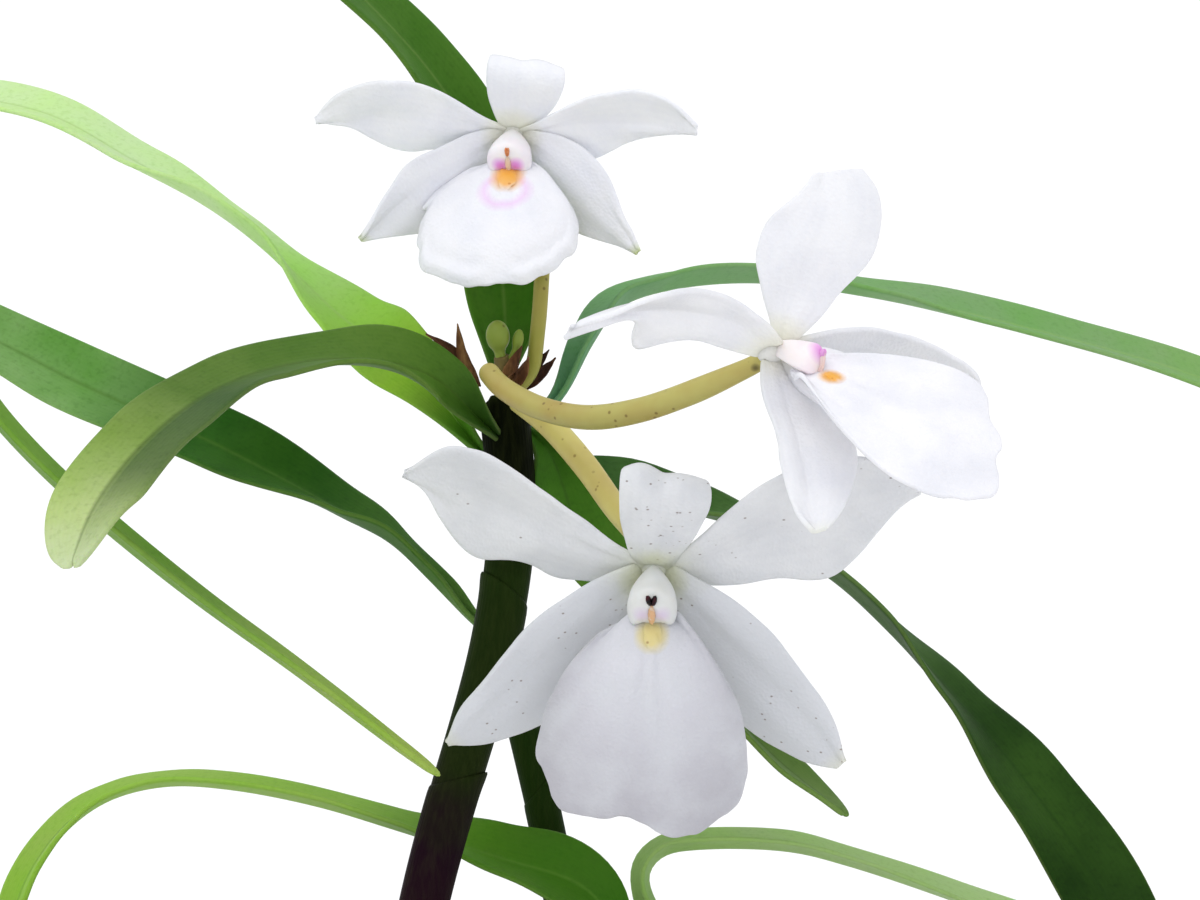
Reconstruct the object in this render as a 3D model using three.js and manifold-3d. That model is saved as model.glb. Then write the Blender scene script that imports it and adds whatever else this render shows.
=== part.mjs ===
// A potted dimerandra orchid: leafy canes on a creeping rhizome, three white flowers, bark and a clay pot.
// Millimetres. X is to the right seen from the front, Y goes back, Z is up. The origin is the middle of the
// pot's foot.
import * as THREE from 'three';
import { mergeVertices } from 'three/addons/utils/BufferGeometryUtils.js';
import Module from 'manifold-3d';

const wasm = await Module();
wasm.setup();

// Driving dimensions
const POT_HEIGHT = 92;
const POT_FOOT_RADIUS = 36;
const POT_RIM_RADIUS = 52;
const POT_BAND = 20;
const POT_WALL = 4.5;
const POT_FLOOR = 6;
const BARK_TOP = 82;
const CHIP_COUNT = 26;
const GAP = 0.3;
const BLADE_THICKNESS = 0.8;
const TEPAL_THICKNESS = 0.7;
const LEAF_WIDTH = 9.5;
const HUB_RADIUS = 1.7;

// Small helpers
const rad = THREE.MathUtils.degToRad;
const vec = (x, y, z) => new THREE.Vector3(x, y, z);
const mix = THREE.MathUtils.lerp;
const ease = THREE.MathUtils.smoothstep;

// A seeded random number from 0 to 1.
function seeded(seed) {
  let state = seed;
  return () => {
    state = (state * 1664525 + 1013904223) % 4294967296;
    return state / 4294967296;
  };
}

// The value at t of a list of numbers spread evenly over 0 to 1.
function along(values, t) {
  const place = THREE.MathUtils.clamp(t, 0, 1) * (values.length - 1);
  const i = Math.min(Math.floor(place), values.length - 2);
  return mix(values[i], values[i + 1], ease(place - i, 0, 1));
}

// The value at t, from 0 to 1, of a smooth curve through numbers spread evenly over it.
function curved(values, t) {
  const last = values.length - 1;
  const place = THREE.MathUtils.clamp(t, 0, 1) * last;
  const i = Math.min(Math.floor(place), last - 1);
  const b = values[i];
  const c = values[i + 1];
  const a = i > 0 ? values[i - 1] : 2 * b - c;
  const d = i + 2 <= last ? values[i + 2] : 2 * c - b;
  const k = place - i;
  return b + 0.5 * k * (c - a + k * (2 * a - 5 * b + 4 * c - d + k * (3 * (b - c) + d - a)));
}

function bare(geometry) {
  geometry.deleteAttribute('normal');
  geometry.deleteAttribute('uv');
  return mergeVertices(geometry, 1e-4);
}

// A thin closed blade round the middle surface that surface(t, s) gives, t from 0 to 1 along it and s from
// -1 to 1 across it. Both faces are split into the same triangles.
function blade(surface, rows, columns, thickness) {
  const grid = new THREE.PlaneGeometry(2, 2, columns, rows);
  const flat = grid.attributes.position;
  const step = 0.01;
  const points = [];
  for (const side of [1, -1]) {
    for (let i = 0; i < flat.count; i += 1) {
      const s = flat.getX(i);
      const t = (1 - flat.getY(i)) / 2;
      const lengthwise = surface(Math.min(t + step, 1), s).sub(surface(Math.max(t - step, 0), s));
      const crosswise = surface(t, Math.min(s + step, 1)).sub(surface(t, Math.max(s - step, -1)));
      const outward = lengthwise.cross(crosswise).normalize();
      const point = surface(t, s).addScaledVector(outward, (side * thickness) / 2);
      points.push(point.x, point.y, point.z);
    }
  }
  const upper = Array.from(grid.index.array);
  const lower = upper.map((corner) => corner + flat.count).reverse();
  const wide = columns + 1;
  const border = [];
  for (let i = 0; i < columns; i += 1) border.push(i);
  for (let i = 0; i < rows; i += 1) border.push(i * wide + columns);
  for (let i = columns; i > 0; i -= 1) border.push(rows * wide + i);
  for (let i = rows; i > 0; i -= 1) border.push(i * wide);
  const rim = border.flatMap((a, i) => {
    const b = border[(i + 1) % border.length];
    return [a, b, b + flat.count, a, b + flat.count, a + flat.count];
  });
  const geometry = new THREE.BufferGeometry();
  geometry.setAttribute('position', new THREE.Float32BufferAttribute(points, 3));
  geometry.setIndex([...upper, ...lower, ...rim]);
  return geometry;
}

// A round stem along a route, with radius(t) at each place. It is larger all round and at both ends by extra.
function stem(route, radius, sides, rows, extra = 0) {
  const curve = new THREE.CatmullRomCurve3(route.map((p) => vec(...p)));
  const frames = curve.computeFrenetFrames(rows, false);
  const geometry = new THREE.CylinderGeometry(1, 1, 1, sides, rows);
  const place = geometry.attributes.position;
  for (let i = 0; i < place.count; i += 1) {
    const row = Math.round((place.getY(i) + 0.5) * rows);
    const t = row / rows;
    const reach = radius(t) + extra;
    const point = curve.getPointAt(t);
    if (row === 0) point.addScaledVector(frames.tangents[row], -extra);
    if (row === rows) point.addScaledVector(frames.tangents[row], extra);
    point.addScaledVector(frames.normals[row], -place.getX(i) * reach);
    point.addScaledVector(frames.binormals[row], place.getZ(i) * reach);
    place.setXYZ(i, point.x, point.y, point.z);
  }
  return bare(geometry);
}

// Booleans
function solid(geometry) {
  const merged = geometry.attributes.normal ? bare(geometry) : geometry;
  const vertProperties = new Float32Array(merged.attributes.position.array);
  const triVerts = new Uint32Array(merged.index.array);
  return new wasm.Manifold(new wasm.Mesh({ numProp: 3, vertProperties, triVerts }));
}

function shell(manifold) {
  const mesh = manifold.getMesh();
  const geometry = new THREE.BufferGeometry();
  geometry.setAttribute('position', new THREE.BufferAttribute(mesh.vertProperties, 3));
  geometry.setIndex(new THREE.BufferAttribute(mesh.triVerts, 1));
  return geometry;
}

const fuse = (geometries) => shell(geometries.map(solid).reduce((a, b) => a.add(b)));
const cut = (geometry, tools) => shell(tools.map(solid).reduce((a, b) => a.subtract(b), solid(geometry)));

// Finishes
const finish = (color, roughness) => new THREE.MeshStandardMaterial({ color, roughness, metalness: 0 });
const TERRACOTTA = finish(0xb5683f, 0.9);
const BARK = finish(0x6b4a30, 0.95);
const ROOT = finish(0xb9b59a, 0.8);
const CANE = finish(0x4a5a26, 0.55);
const LEAF = finish(0x4f8a2a, 0.45);
const STALK = finish(0xb4b45a, 0.5);
const BUD = finish(0x8fa03a, 0.5);
const BRACT = finish(0x5a3a24, 0.8);
const PETAL = finish(0xf1f0f6, 0.6);
const COLUMN = finish(0xf0e6ee, 0.5);
const ANTHER = finish(0x4a1028, 0.5);
const CALLUS = finish(0xf0b040, 0.5);

const plant = new THREE.Group();

function node(name, geometry, material, parent = plant) {
  const mesh = new THREE.Mesh(geometry, material);
  mesh.name = name;
  parent.add(mesh);
  return mesh;
}

// Canes. Each has its route from the rhizome up, and its leaf sheaths, which widen to a mouth and step in.
const CANES = {
  flowering_cane: {
    route: [[-19, -5, 88], [-18.5, -6, 120], [-15, -6.5, 160], [-7.8, -5.8, 199], [-1.4, -0.8, 222],
      [0, 1, 233], [-0.8, 2.4, 244]],
    radius: 2.25,
    sheaths: 9,
  },
  back_cane: {
    route: [[10, 20, 88], [11, 19, 120], [8.5, 16, 160], [4.2, 13.6, 194], [-1.7, 15.4, 221]],
    radius: 1.6,
    sheaths: 8,
  },
  left_cane: {
    route: [[-33, -12, 88], [-36, -13, 120], [-43, -15.5, 160], [-52, -18.5, 204], [-58, -20, 232],
      [-60.6, -20.3, 246]],
    radius: 1.8,
    sheaths: 9,
  },
  right_cane: {
    route: [[25, 3, 88], [24, 3, 110], [19, 5, 150], [13.5, 8.5, 188]],
    radius: 1.8,
    sheaths: 6,
  },
  old_cane: {
    route: [[-14, 21, 88], [-17, 24, 120], [-23, 26, 158]],
    radius: 1.5,
    sheaths: 5,
  },
  young_shoot: {
    route: [[33, -13, 88], [35, -14, 100], [36, -15, 120]],
    radius: 2.1,
    sheaths: 3,
  },
};

function caneSolid({ route, radius, sheaths }, extra = 0) {
  const rows = sheaths * 2;
  const width = (t) => {
    const mouth = Math.round(t * rows) % 2;
    const taper = mix(1, 0.86, t);
    return radius * taper * (mouth ? 0.92 : 1.08);
  };
  return stem(route, width, 8, rows, extra);
}

// Leaves. A route gives x, y and z, and for those seen in the photograph the turn of the upper face round the
// leaf's length, in degrees from facing the front. The others face the sky.
const FRONT = [0, -1, 0.14];
const SKYWARD = [0, 0, 1];
const LEAVES = {
  leaf_front_left: {
    route: [[-2.8, -0.6, 242, 10], [-7.2, -2, 246, 50], [-14.6, -9, 248.2, 70], [-22.3, -17.2, 247.5, 60],
      [-27.9, -27.7, 244.6, 40], [-31.7, -36.4, 240, 30], [-32.9, -43, 236, 40]],
  },
  leaf_upper_left: {
    route: [[-3.4, 5.2, 239, 0], [-9.1, 9, 245.4, 0], [-16, 13.4, 249.4, 55], [-24, 18.3, 256.1, 88],
      [-28.8, 20.8, 259.4, 88], [-37, 25.4, 263.5, 70], [-46.1, 30.1, 267.9, 65], [-55.4, 34.3, 269.2, 65],
      [-64.4, 36.2, 268, 60], [-74, 38, 262, 55]],
  },
  leaf_left: {
    route: [[-4.1, 15.5, 220.4, 40], [-8.2, 16.9, 224.3, 85], [-11.9, 18.4, 227.6, 90],
      [-16.8, 20.7, 229.9, 75], [-28.5, 24.5, 235.6, 45], [-43.9, 29.4, 241.8, 35], [-51.9, 32, 245.4, 45],
      [-63.3, 35.6, 249.5, 50], [-76, 39, 249.4, 55]],
  },
  leaf_upright: {
    route: [[-0.9, 7.8, 244.6, 0], [-0.8, 10.9, 249.6, 0], [-1.5, 13.4, 255.4, 20], [-3.1, 15, 262.6, 40],
      [-5.1, 14.6, 268.1, 50], [-8, 12.8, 272.7, 55], [-13, 8, 278.6, 60], [-19.1, 2.2, 284.8, 50],
      [-27, -5.3, 289.1, 45], [-36, -12, 289.6, 45]],
  },
  leaf_upper_right: {
    route: [[4, 4, 242.8, -35], [7.2, 9, 248, -65], [9.9, 15.6, 250.8, -80], [14.8, 19.8, 252, -88],
      [23.5, 25.8, 252.1, -88], [34.5, 30.6, 250.3, -80], [44.2, 34.4, 248, -70], [54.3, 37, 245.3, -70],
      [68.9, 40.4, 240.8, -65], [82.7, 42.6, 234.5, -65], [93, 43.7, 228, -60]],
  },
  leaf_right: {
    route: [[-0.4, 5.4, 230.6, -10], [4, 11.4, 233.8, -40], [9.6, 13.8, 233.4, -55],
      [15.4, 13.8, 231.8, -70], [22.7, 12.6, 229.6, -85], [29.9, 11, 225.4, -90], [34.4, 10.4, 221.4, -90],
      [40.7, 7.5, 214.9, -70], [47.7, 3.4, 207, -40], [54.2, -2, 197.9, -15], [57, -9.3, 189, -5],
      [56.5, -18.2, 181, -5]],
  },
  leaf_short: {
    route: [[3.2, 4.6, 238.6, 0], [6.2, 6.6, 230, -30], [11.9, 7.2, 221.8, -60], [18.6, 6.8, 214.9, -75],
      [24.6, 5.6, 208.9, -75], [30.6, 3.1, 204.6, -85]],
    width: 8,
  },
  leaf_low_left: {
    route: [[11, 6, 190, 0], [6.8, 6, 196.7, 30], [-1.3, 5.4, 199.7, 65], [-10.6, 5.8, 202.6, 88],
      [-18.6, 7.1, 204.7, 90], [-27.1, 9.2, 205.8, 90], [-33, 10.3, 205.8, 90], [-38.2, 10.1, 204.6, 85],
      [-42.2, 9.7, 202, 75], [-45, 8.2, 198.6, 70], [-46.5, 6.8, 195.3, 65], [-47.7, 3.9, 188.5, 60]],
  },
  leaf_low_right: {
    route: [[14.8, 11.4, 190, -45], [12.4, 12.4, 196.4, -85], [14, 13.4, 198.2, -90],
      [17.6, 14.3, 198.6, -90], [26.2, 16.2, 197.9, -90], [32.1, 18, 196, -90], [43.4, 19.4, 191.8, -85],
      [52.7, 19.9, 188, -80], [61.4, 19.1, 182.8, -75], [68.6, 17.2, 175.6, -70]],
  },
  leaf_thin: {
    route: [[-60.2, -23, 246.6, -20], [-57, -23.6, 253.6, -60], [-53.2, -23.6, 255.9, -80],
      [-47.7, -24.6, 252.4, -90], [-41.6, -25.7, 244.9, -90], [-37.5, -25.5, 240.4, -90],
      [-32.2, -25.9, 235.7, -90], [-25.5, -25.7, 230.2, -90], [-17.3, -25.5, 224.1, -90],
      [-9, -25.4, 217.7, -90], [-5.6, -25.8, 215.4, -90]],
    width: 8,
  },
};

// Leaves below and beside what the photograph shows
const LOWER_LEAVES = {
  flowering_cane_leaf_right: [[-8.2, -7.4, 178], [-1, -12, 187], [9, -18, 190], [20, -25, 185],
    [30, -31, 175], [37, -36, 162]],
  flowering_cane_leaf_left: [[-17.5, -8, 162], [-24, -15, 172], [-32, -24, 177], [-41, -34, 173],
    [-48, -43, 162], [-52, -50, 149]],
  back_cane_leaf_right: [[10, 18.6, 166], [16, 25, 175], [25, 35, 177], [34, 46, 170], [40, 57, 158]],
  back_cane_leaf_left: [[6.6, 19, 148], [-2, 27, 158], [-12, 37, 160], [-22, 47, 154], [-29, 57, 143]],
  left_cane_leaf_top: [[-62.6, -18.2, 244], [-67, -14, 254], [-75, -9, 261], [-85, -4, 262], [-95, 0, 256],
    [-102, 3, 246]],
  left_cane_leaf_left: [[-59.8, -20.8, 224], [-66, -24, 234], [-76, -29, 239], [-88, -34, 235],
    [-98, -38, 225], [-104, -41, 212]],
  left_cane_leaf_back: [[-44.4, -13.6, 176], [-37, -7, 184], [-27, 1, 186], [-18, 9, 180], [-10, 15, 168]],
  left_cane_leaf_low: [[-45, -16.8, 158], [-53, -21, 167], [-65, -27, 168], [-77, -33, 159],
    [-86, -37, 145]],
  right_cane_leaf_right: [[19.6, 6.8, 166], [27, 8, 176], [39, 10, 180], [52, 12, 174], [63, 14, 162],
    [70, 16, 148]],
  right_cane_leaf_front: [[18.4, 1.8, 144], [15, -6, 154], [11, -17, 158], [8, -29, 152], [6, -40, 140]],
  young_shoot_leaf_right: [[38.9, -16, 114], [44, -19, 125], [51, -23, 131], [59, -27, 127],
    [65, -30, 117]],
  young_shoot_leaf_left: [[33.2, -17.4, 117], [29.6, -18.6, 129], [27, -19, 140], [21, -21, 144],
    [14, -23, 141]],
};

// The fold of the two halves about the midrib, in degrees, from the foot to the tip.
const LEAF_FOLD = [26, 20, 16, 14, 12];

function leafSurface({ route, width = LEAF_WIDTH, face = FRONT }) {
  const curve = new THREE.CatmullRomCurve3(route.map((p) => vec(p[0], p[1], p[2])), false, 'centripetal');
  const turns = route.map((p) => p[3] ?? 0);
  return (t, s) => {
    const u = curve.getUtoTmapping(t);
    const tangent = curve.getTangent(u);
    const upper = vec(...face);
    upper.addScaledVector(tangent, -upper.dot(tangent)).normalize();
    upper.applyAxisAngle(tangent, rad(along(turns, u)));
    const across = upper.clone().cross(tangent);
    const foot = mix(0.62, 1, ease(t, 0, 0.25));
    const tip = t < 0.86 ? 1 : Math.sqrt(Math.max(1 - ((t - 0.86) / 0.14) ** 2, 0.03));
    const half = (width / 2) * foot * mix(1.03, 0.85, t) * tip;
    const bend = rad(along(LEAF_FOLD, t));
    const point = curve.getPoint(u);
    point.addScaledVector(across, half * s * Math.cos(bend));
    return point.addScaledVector(upper, half * Math.abs(s) * Math.sin(bend));
  };
}

for (const [name, cane] of Object.entries(CANES)) node(name, caneSolid(cane), CANE);
for (const [name, leaf] of Object.entries(LEAVES)) {
  node(name, blade(leafSurface(leaf), 14, 2, BLADE_THICKNESS), LEAF);
}
for (const [name, route] of Object.entries(LOWER_LEAVES)) {
  node(name, blade(leafSurface({ route, face: SKYWARD }), 10, 2, BLADE_THICKNESS), LEAF);
}

// Flower stalks, each a pedicel that ends in the flower's ovary
const STALKS = {
  stalk_top: {
    route: [[1.9, 2.4, 246], [2.4, 2.2, 250], [2.8, 3.4, 255.5], [3, 9.8, 259.7], [2.6, 13.2, 264],
      [1.4, 13.6, 267], [0.3, 12.2, 268.9]],
    radius: [0.7, 0.7, 0.75, 0.8],
  },
  stalk_right: {
    route: [[-2.2, -2.8, 246.9], [-0.6, -6, 245.6], [3, -9.6, 244], [8, -14.4, 243.5], [14, -19, 244.8],
      [18.6, -22, 248.4], [20.7, -23.3, 251]],
    radius: [0.95, 1.05, 1.1, 1.1],
  },
  stalk_front: {
    route: [[0.3, -1.4, 244.2], [3.5, -4, 242], [6.7, -7.8, 238.9], [9.2, -12, 236], [11.6, -17, 233.8],
      [12.4, -19.2, 233.4]],
    radius: [1.1, 1.15, 1.1, 1],
  },
};

for (const [name, { route, radius }] of Object.entries(STALKS)) {
  node(name, stem(route, (t) => along(radius, t), 8, 10), STALK);
}

// Blooms. Each stands at its own place and is turned: heading to the right of the front, tip up, and lean
// anticlockwise, in degrees. Inside a bloom X is the viewer's right, Y the way of the top sepal and Z the way
// it faces.
function bloomFrame({ at, heading, tip, lean, size }) {
  const facing = vec(
    Math.sin(rad(heading)) * Math.cos(rad(tip)),
    -Math.cos(rad(heading)) * Math.cos(rad(tip)),
    Math.sin(rad(tip)),
  );
  const up = vec(0, 0, 1).addScaledVector(facing, -facing.z).normalize().applyAxisAngle(facing, rad(lean));
  const right = up.clone().cross(facing);
  const turned = new THREE.Matrix4().makeBasis(right, up, facing);
  const group = new THREE.Group();
  group.position.set(...at);
  group.quaternion.setFromRotationMatrix(turned);
  group.scale.setScalar(size);
  return group;
}

// A sepal or petal: it leaves the middle at turn degrees from the bloom's right, and lifts towards the front
// by lift, then curls by curl about the place bendAt of its length. Its half widths, left and right of its
// midline seen from its foot, are given at every tenth of its length.
function tepalSurface(spec) {
  const { turn, sweep = 0, length, left, right, lift = 0, curl = 0, bendAt = 0.5, bendOver = 0.5 } = spec;
  const { roll = 0, twist = 0, cup = 0 } = spec;
  const root = 0.6;
  const steps = 24;
  const heading = (t) => {
    const e = rad(lift + curl * ease(t, bendAt - bendOver, bendAt + bendOver));
    const a = rad(turn + sweep * t);
    const ahead = vec(Math.cos(e) * Math.cos(a), Math.cos(e) * Math.sin(a), Math.sin(e));
    const upper = vec(-Math.sin(e) * Math.cos(a), -Math.sin(e) * Math.sin(a), Math.cos(e));
    return { ahead, upper: upper.applyAxisAngle(ahead, rad(roll + twist * t)) };
  };
  const line = [vec(Math.cos(rad(turn)) * root, Math.sin(rad(turn)) * root, 0)];
  for (let i = 0; i < steps; i += 1) {
    line.push(line[i].clone().addScaledVector(heading((i + 0.5) / steps).ahead, length / steps));
  }
  return (t, s) => {
    const { ahead, upper } = heading(t);
    const across = upper.clone().cross(ahead);
    const place = Math.min(Math.floor(t * steps), steps - 1);
    const point = line[place].clone().lerp(line[place + 1], t * steps - place);
    const half = Math.max(curved(s > 0 ? left : right, t), TIP_HALF_WIDTH);
    point.addScaledVector(across, half * s);
    return point.addScaledVector(upper, cup * half * s * s);
  };
}

// The lip: a fan that spreads from its claw. Its margin is given as distances from the claw, at even steps of
// its spread from the left to the right.
function lipSurface({ reach, spread, margin, lift, curl, drop, ruffle, start, lean }) {
  const steps = 24;
  const claw = vec(0, start[0], start[1]);
  const pitch = (t) => rad(lift + curl * ease(t, 0, 1));
  const line = [claw.clone()];
  for (let i = 0; i < steps; i += 1) {
    const e = pitch((i + 0.5) / steps);
    line.push(line[i].clone().add(vec(0, -Math.cos(e), Math.sin(e)).multiplyScalar(reach / steps)));
  }
  return (t, s) => {
    const angle = rad(spread * s);
    const far = mix(0.06 * reach, curved(margin, (s + 1) / 2), t);
    const down = (far * Math.cos(angle)) / reach;
    const side = far * Math.sin(angle);
    const place = Math.min(Math.floor(down * steps), steps - 1);
    const point = line[place].clone().lerp(line[place + 1], down * steps - place);
    const e = pitch(down);
    const wave = ruffle * t ** 4 * Math.sin(s * 13) - drop * reach * (side / reach) ** 2;
    point.x += side;
    point.add(vec(0, Math.sin(e), Math.cos(e)).multiplyScalar(wave));
    return point.sub(claw).applyAxisAngle(vec(0, 0, 1), rad(lean)).add(claw);
  };
}

const TIP_HALF_WIDTH = 0.4;
const DORSAL = { turn: 84, length: 18, lift: 8, curl: -150, bendAt: 0.56, bendOver: 0.18, cup: -0.1 };
const LATERAL = { length: 22, lift: 30, cup: -0.12 };
const SIDE_PETAL = { length: 22, cup: 0.08 };
const LIP = { reach: 21.5, spread: 55, lift: 82, curl: -50, drop: 0.7, ruffle: 0.35, start: [-1.6, 2],
  lean: 0 };

const BLOOMS = {
  front_bloom: {
    at: [12.5, -21.4, 231.9],
    heading: -3,
    tip: -32,
    lean: 0,
    size: 1,
    tepals: [
      {
        ...DORSAL,
        left: [1.6, 2.4, 2.9, 3.3, 3.5, 3.6, 3.6, 3.2, 2.6, 1.7, 0.3],
        right: [1.6, 2.2, 2.9, 3.4, 3.8, 4, 3.9, 3.4, 2.7, 1.7, 0.3],
      },
      {
        ...SIDE_PETAL, turn: 155, sweep: 4, lift: -5,
        left: [1.2, 2.6, 3.7, 4.5, 4.4, 4.6, 5.2, 4.6, 3, 1, 0.3],
        right: [0.9, 1, 1.5, 2.2, 3.1, 4, 4.8, 5.5, 5.5, 4.5, 0.3],
      },
      {
        ...SIDE_PETAL, turn: 18, sweep: 2, lift: -5, length: 22.8,
        left: [0.6, 1.3, 2.6, 4, 5.2, 6.1, 6.6, 6.5, 5.9, 4.5, 1],
        right: [1.2, 2.5, 3.3, 3.8, 4.4, 5.4, 5.6, 4.5, 2.7, 1.1, 0.4],
      },
      {
        ...LATERAL, turn: 209.5,
        left: [1.5, 2.4, 3.3, 4.1, 4.8, 5.2, 5.3, 4.9, 4, 2.8, 0.3],
        right: [1.5, 2.3, 3, 3.4, 3.6, 3.4, 3, 2.6, 2, 1.4, 0.3],
      },
      {
        ...LATERAL, turn: -35.5,
        left: [1.5, 2.2, 3, 3.5, 3.7, 3.7, 3.4, 3.1, 2.6, 1.8, 0.3],
        right: [1.5, 2.4, 3.3, 4.1, 4.7, 5.1, 5.1, 4.7, 4, 3, 0.8],
      },
    ],
    lip: { ...LIP, margin: [3, 11.5, 17.4, 20.1, 20.6, 19.8, 21, 20.6, 17.6, 12, 3] },
  },
  top_bloom: {
    at: [0.1, 8.8, 267.1],
    heading: -7,
    tip: -32,
    lean: 0,
    size: 0.86,
    tepals: [
      {
        ...DORSAL, turn: 80, bendAt: 0.47,
        left: [1.4, 2.3, 3, 3.4, 3.6, 3.6, 3.4, 3, 2.4, 1.6, 0.3],
        right: [1.5, 2.8, 3.9, 4.5, 4.7, 4.6, 4.2, 3.6, 2.8, 1.8, 0.3],
      },
      {
        ...SIDE_PETAL, turn: 150, sweep: 30, lift: 15, length: 21,
        left: [1, 2.2, 3.1, 3.7, 4.2, 4.4, 4, 3.1, 1.7, 0.9, 0.3],
        right: [0.6, 0.8, 1.5, 2.4, 3.4, 4.3, 4.7, 4.6, 4, 2.7, 0.3],
      },
      {
        ...SIDE_PETAL, turn: 26, sweep: -30, lift: 15, length: 21,
        left: [0.4, 0.7, 1.2, 2, 3, 3.8, 4.3, 4.5, 4.3, 3.3, 1],
        right: [1.2, 2.6, 3.9, 4.6, 4.5, 3.6, 2.6, 1.8, 1, 0.5, 0.3],
      },
      {
        ...LATERAL, turn: 190, sweep: 24, lift: 33, length: 19.5,
        left: [1.2, 2.2, 3.2, 4.2, 5, 5.5, 5.3, 4.5, 3.2, 1.7, 0.3],
        right: [1.2, 1.8, 2.2, 2.5, 2.8, 3.1, 2.8, 2.1, 1.5, 0.7, 0.3],
      },
      {
        ...LATERAL, turn: -18, sweep: -24, lift: 33, length: 18.5,
        left: [1.2, 2, 2.8, 3.4, 3.7, 3.7, 3.1, 2.2, 1.4, 0.9, 0.3],
        right: [1.2, 2.3, 3.4, 4.4, 5.2, 5.5, 5.1, 4.1, 2.9, 1.6, 0.3],
      },
    ],
    lip: {
      ...LIP, reach: 19, spread: 65, lift: 95, curl: -40,
      margin: [5, 10, 13, 16, 17.4, 18.2, 17, 15.2, 12, 6.5, 3],
    },
  },
  right_bloom: {
    at: [22.4, -24.9, 250.9],
    heading: 50,
    tip: -15,
    lean: 0,
    size: 0.95,
    tepals: [
      {
        ...DORSAL, turn: 80, length: 17, lift: 2, curl: -80, bendAt: 0.85, roll: -45,
        left: [0.5, 1.2, 2.4, 3.4, 4.3, 4.6, 4.5, 3.9, 2.6, 1, 0.3],
        right: [0.9, 1.9, 2.7, 3.3, 3.9, 4.6, 5.2, 5.2, 4.7, 3, 0.8],
      },
      {
        ...SIDE_PETAL, turn: 150, sweep: 50, lift: -12, length: 23, roll: -46,
        left: [1.6, 2.5, 2.8, 3.2, 4.4, 6.4, 4.4, 1.2, 0.8, 1, 0.5],
        right: [1.2, 1.8, 2.3, 2.9, 3.5, 4.1, 4.6, 4.8, 4.4, 2.2, 0.4],
      },
      {
        ...SIDE_PETAL, turn: 4, sweep: -28, lift: 20, roll: 15, twist: 50,
        left: [0.8, 1.8, 2.7, 3.4, 3.8, 4.2, 4.2, 4.1, 4, 3.2, 1.4],
        right: [0.8, 1.8, 2.7, 3.4, 3.9, 4.2, 4.2, 3.9, 3.2, 2, 0.5],
      },
      {
        ...LATERAL, turn: 260, sweep: -24, lift: 44.5, length: 17, roll: 20, twist: 50,
        left: [1.5, 2.8, 3.9, 4.7, 5.1, 5.1, 4.5, 3.5, 2.4, 1.2, 0.3],
        right: [1.2, 1.9, 2, 1.7, 1.4, 1.2, 1.3, 1.2, 1.1, 0.9, 0.3],
      },
      {
        ...LATERAL, turn: -64, lift: 60, length: 16,
        left: [1.3, 2.2, 3, 3.6, 4, 4.2, 4, 3.5, 2.8, 1.8, 0.3],
        right: [1.3, 2.2, 3, 3.6, 4, 4.2, 4, 3.5, 2.8, 1.8, 0.3],
      },
    ],
    lip: {
      ...LIP, spread: 70, lift: 92, curl: -25, start: [-1.5, 2.5], drop: 0.22, lean: 22,
      margin: [2.8, 3.2, 5, 10.5, 18.5, 20.6, 20.4, 18.6, 16, 13.4, 7],
    },
  },
};

const COLUMN_ROUTE = [[0, 1, 2.1], [0, 1.3, 3.4], [0, 1.2, 4.8]];
const COLUMN_RADII = [1.3, 1.6, 1.1];
const ANTHER_AT = [0, 1.1, 5.7];
const CALLUS_ALONG = 0.2;
const CALLUS_SIZE = [1.1, 1.4, 0.4];

function callusSolid(lip) {
  const surface = lipSurface(lip);
  const at = surface(CALLUS_ALONG, 0);
  const ahead = surface(CALLUS_ALONG + 0.02, 0).sub(at).normalize();
  const across = surface(CALLUS_ALONG, 0.02).sub(at).normalize();
  const upward = ahead.clone().cross(across).normalize();
  const body = new THREE.IcosahedronGeometry(1, 1).scale(...CALLUS_SIZE);
  body.applyMatrix4(new THREE.Matrix4().makeBasis(across, ahead, upward.clone().negate()));
  const lifted = at.addScaledVector(upward, TEPAL_THICKNESS / 2 + GAP + CALLUS_SIZE[2]);
  return bare(body.translate(lifted.x, lifted.y, lifted.z));
}

for (const [name, bloom] of Object.entries(BLOOMS)) {
  const group = bloomFrame(bloom);
  plant.add(group);
  const hub = bare(new THREE.SphereGeometry(HUB_RADIUS, 10, 8));
  const tepals = bloom.tepals.map((spec) => blade(tepalSurface(spec), 9, 4, TEPAL_THICKNESS));
  node(`${name}_tepals`, fuse([hub, ...tepals]), PETAL, group);
  node(`${name}_lip`, blade(lipSurface(bloom.lip), 8, 12, TEPAL_THICKNESS), PETAL, group);
  node(`${name}_column`, stem(COLUMN_ROUTE, (t) => along(COLUMN_RADII, t), 8, 4), COLUMN, group);
  const anther = new THREE.IcosahedronGeometry(0.6, 1).translate(...ANTHER_AT);
  node(`${name}_anther`, bare(anther), ANTHER, group);
  node(`${name}_callus`, callusSolid(bloom.lip), CALLUS, group);
}

// The tip of the flowering cane: the end of the flower stem with its buds, and dry bracts on each side
const BUD_STEM = [[-0.6, 1.9, 244.6], [-0.6, 1.6, 246.2], [-0.9, 1.3, 247.6]];
const BUDS = [
  { route: [[-0.8, 1.4, 246.8], [-1.1, 1.3, 248.4], [-1.3, 1.3, 250.6]], radius: [0.5, 0.6, 1.1, 0.9, 0.3] },
  { route: [[-0.6, 1.6, 246.4], [0.3, 1.2, 248], [0.7, 1.1, 249.8]], radius: [0.3, 0.3, 0.5, 0.45, 0.2] },
];
const buds = BUDS.map(({ route, radius }) => stem(route, (t) => along(radius, t), 7, 6));
node('flower_buds', fuse([stem(BUD_STEM, (t) => mix(0.95, 0.7, t), 8, 3), ...buds]), BUD);

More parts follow.
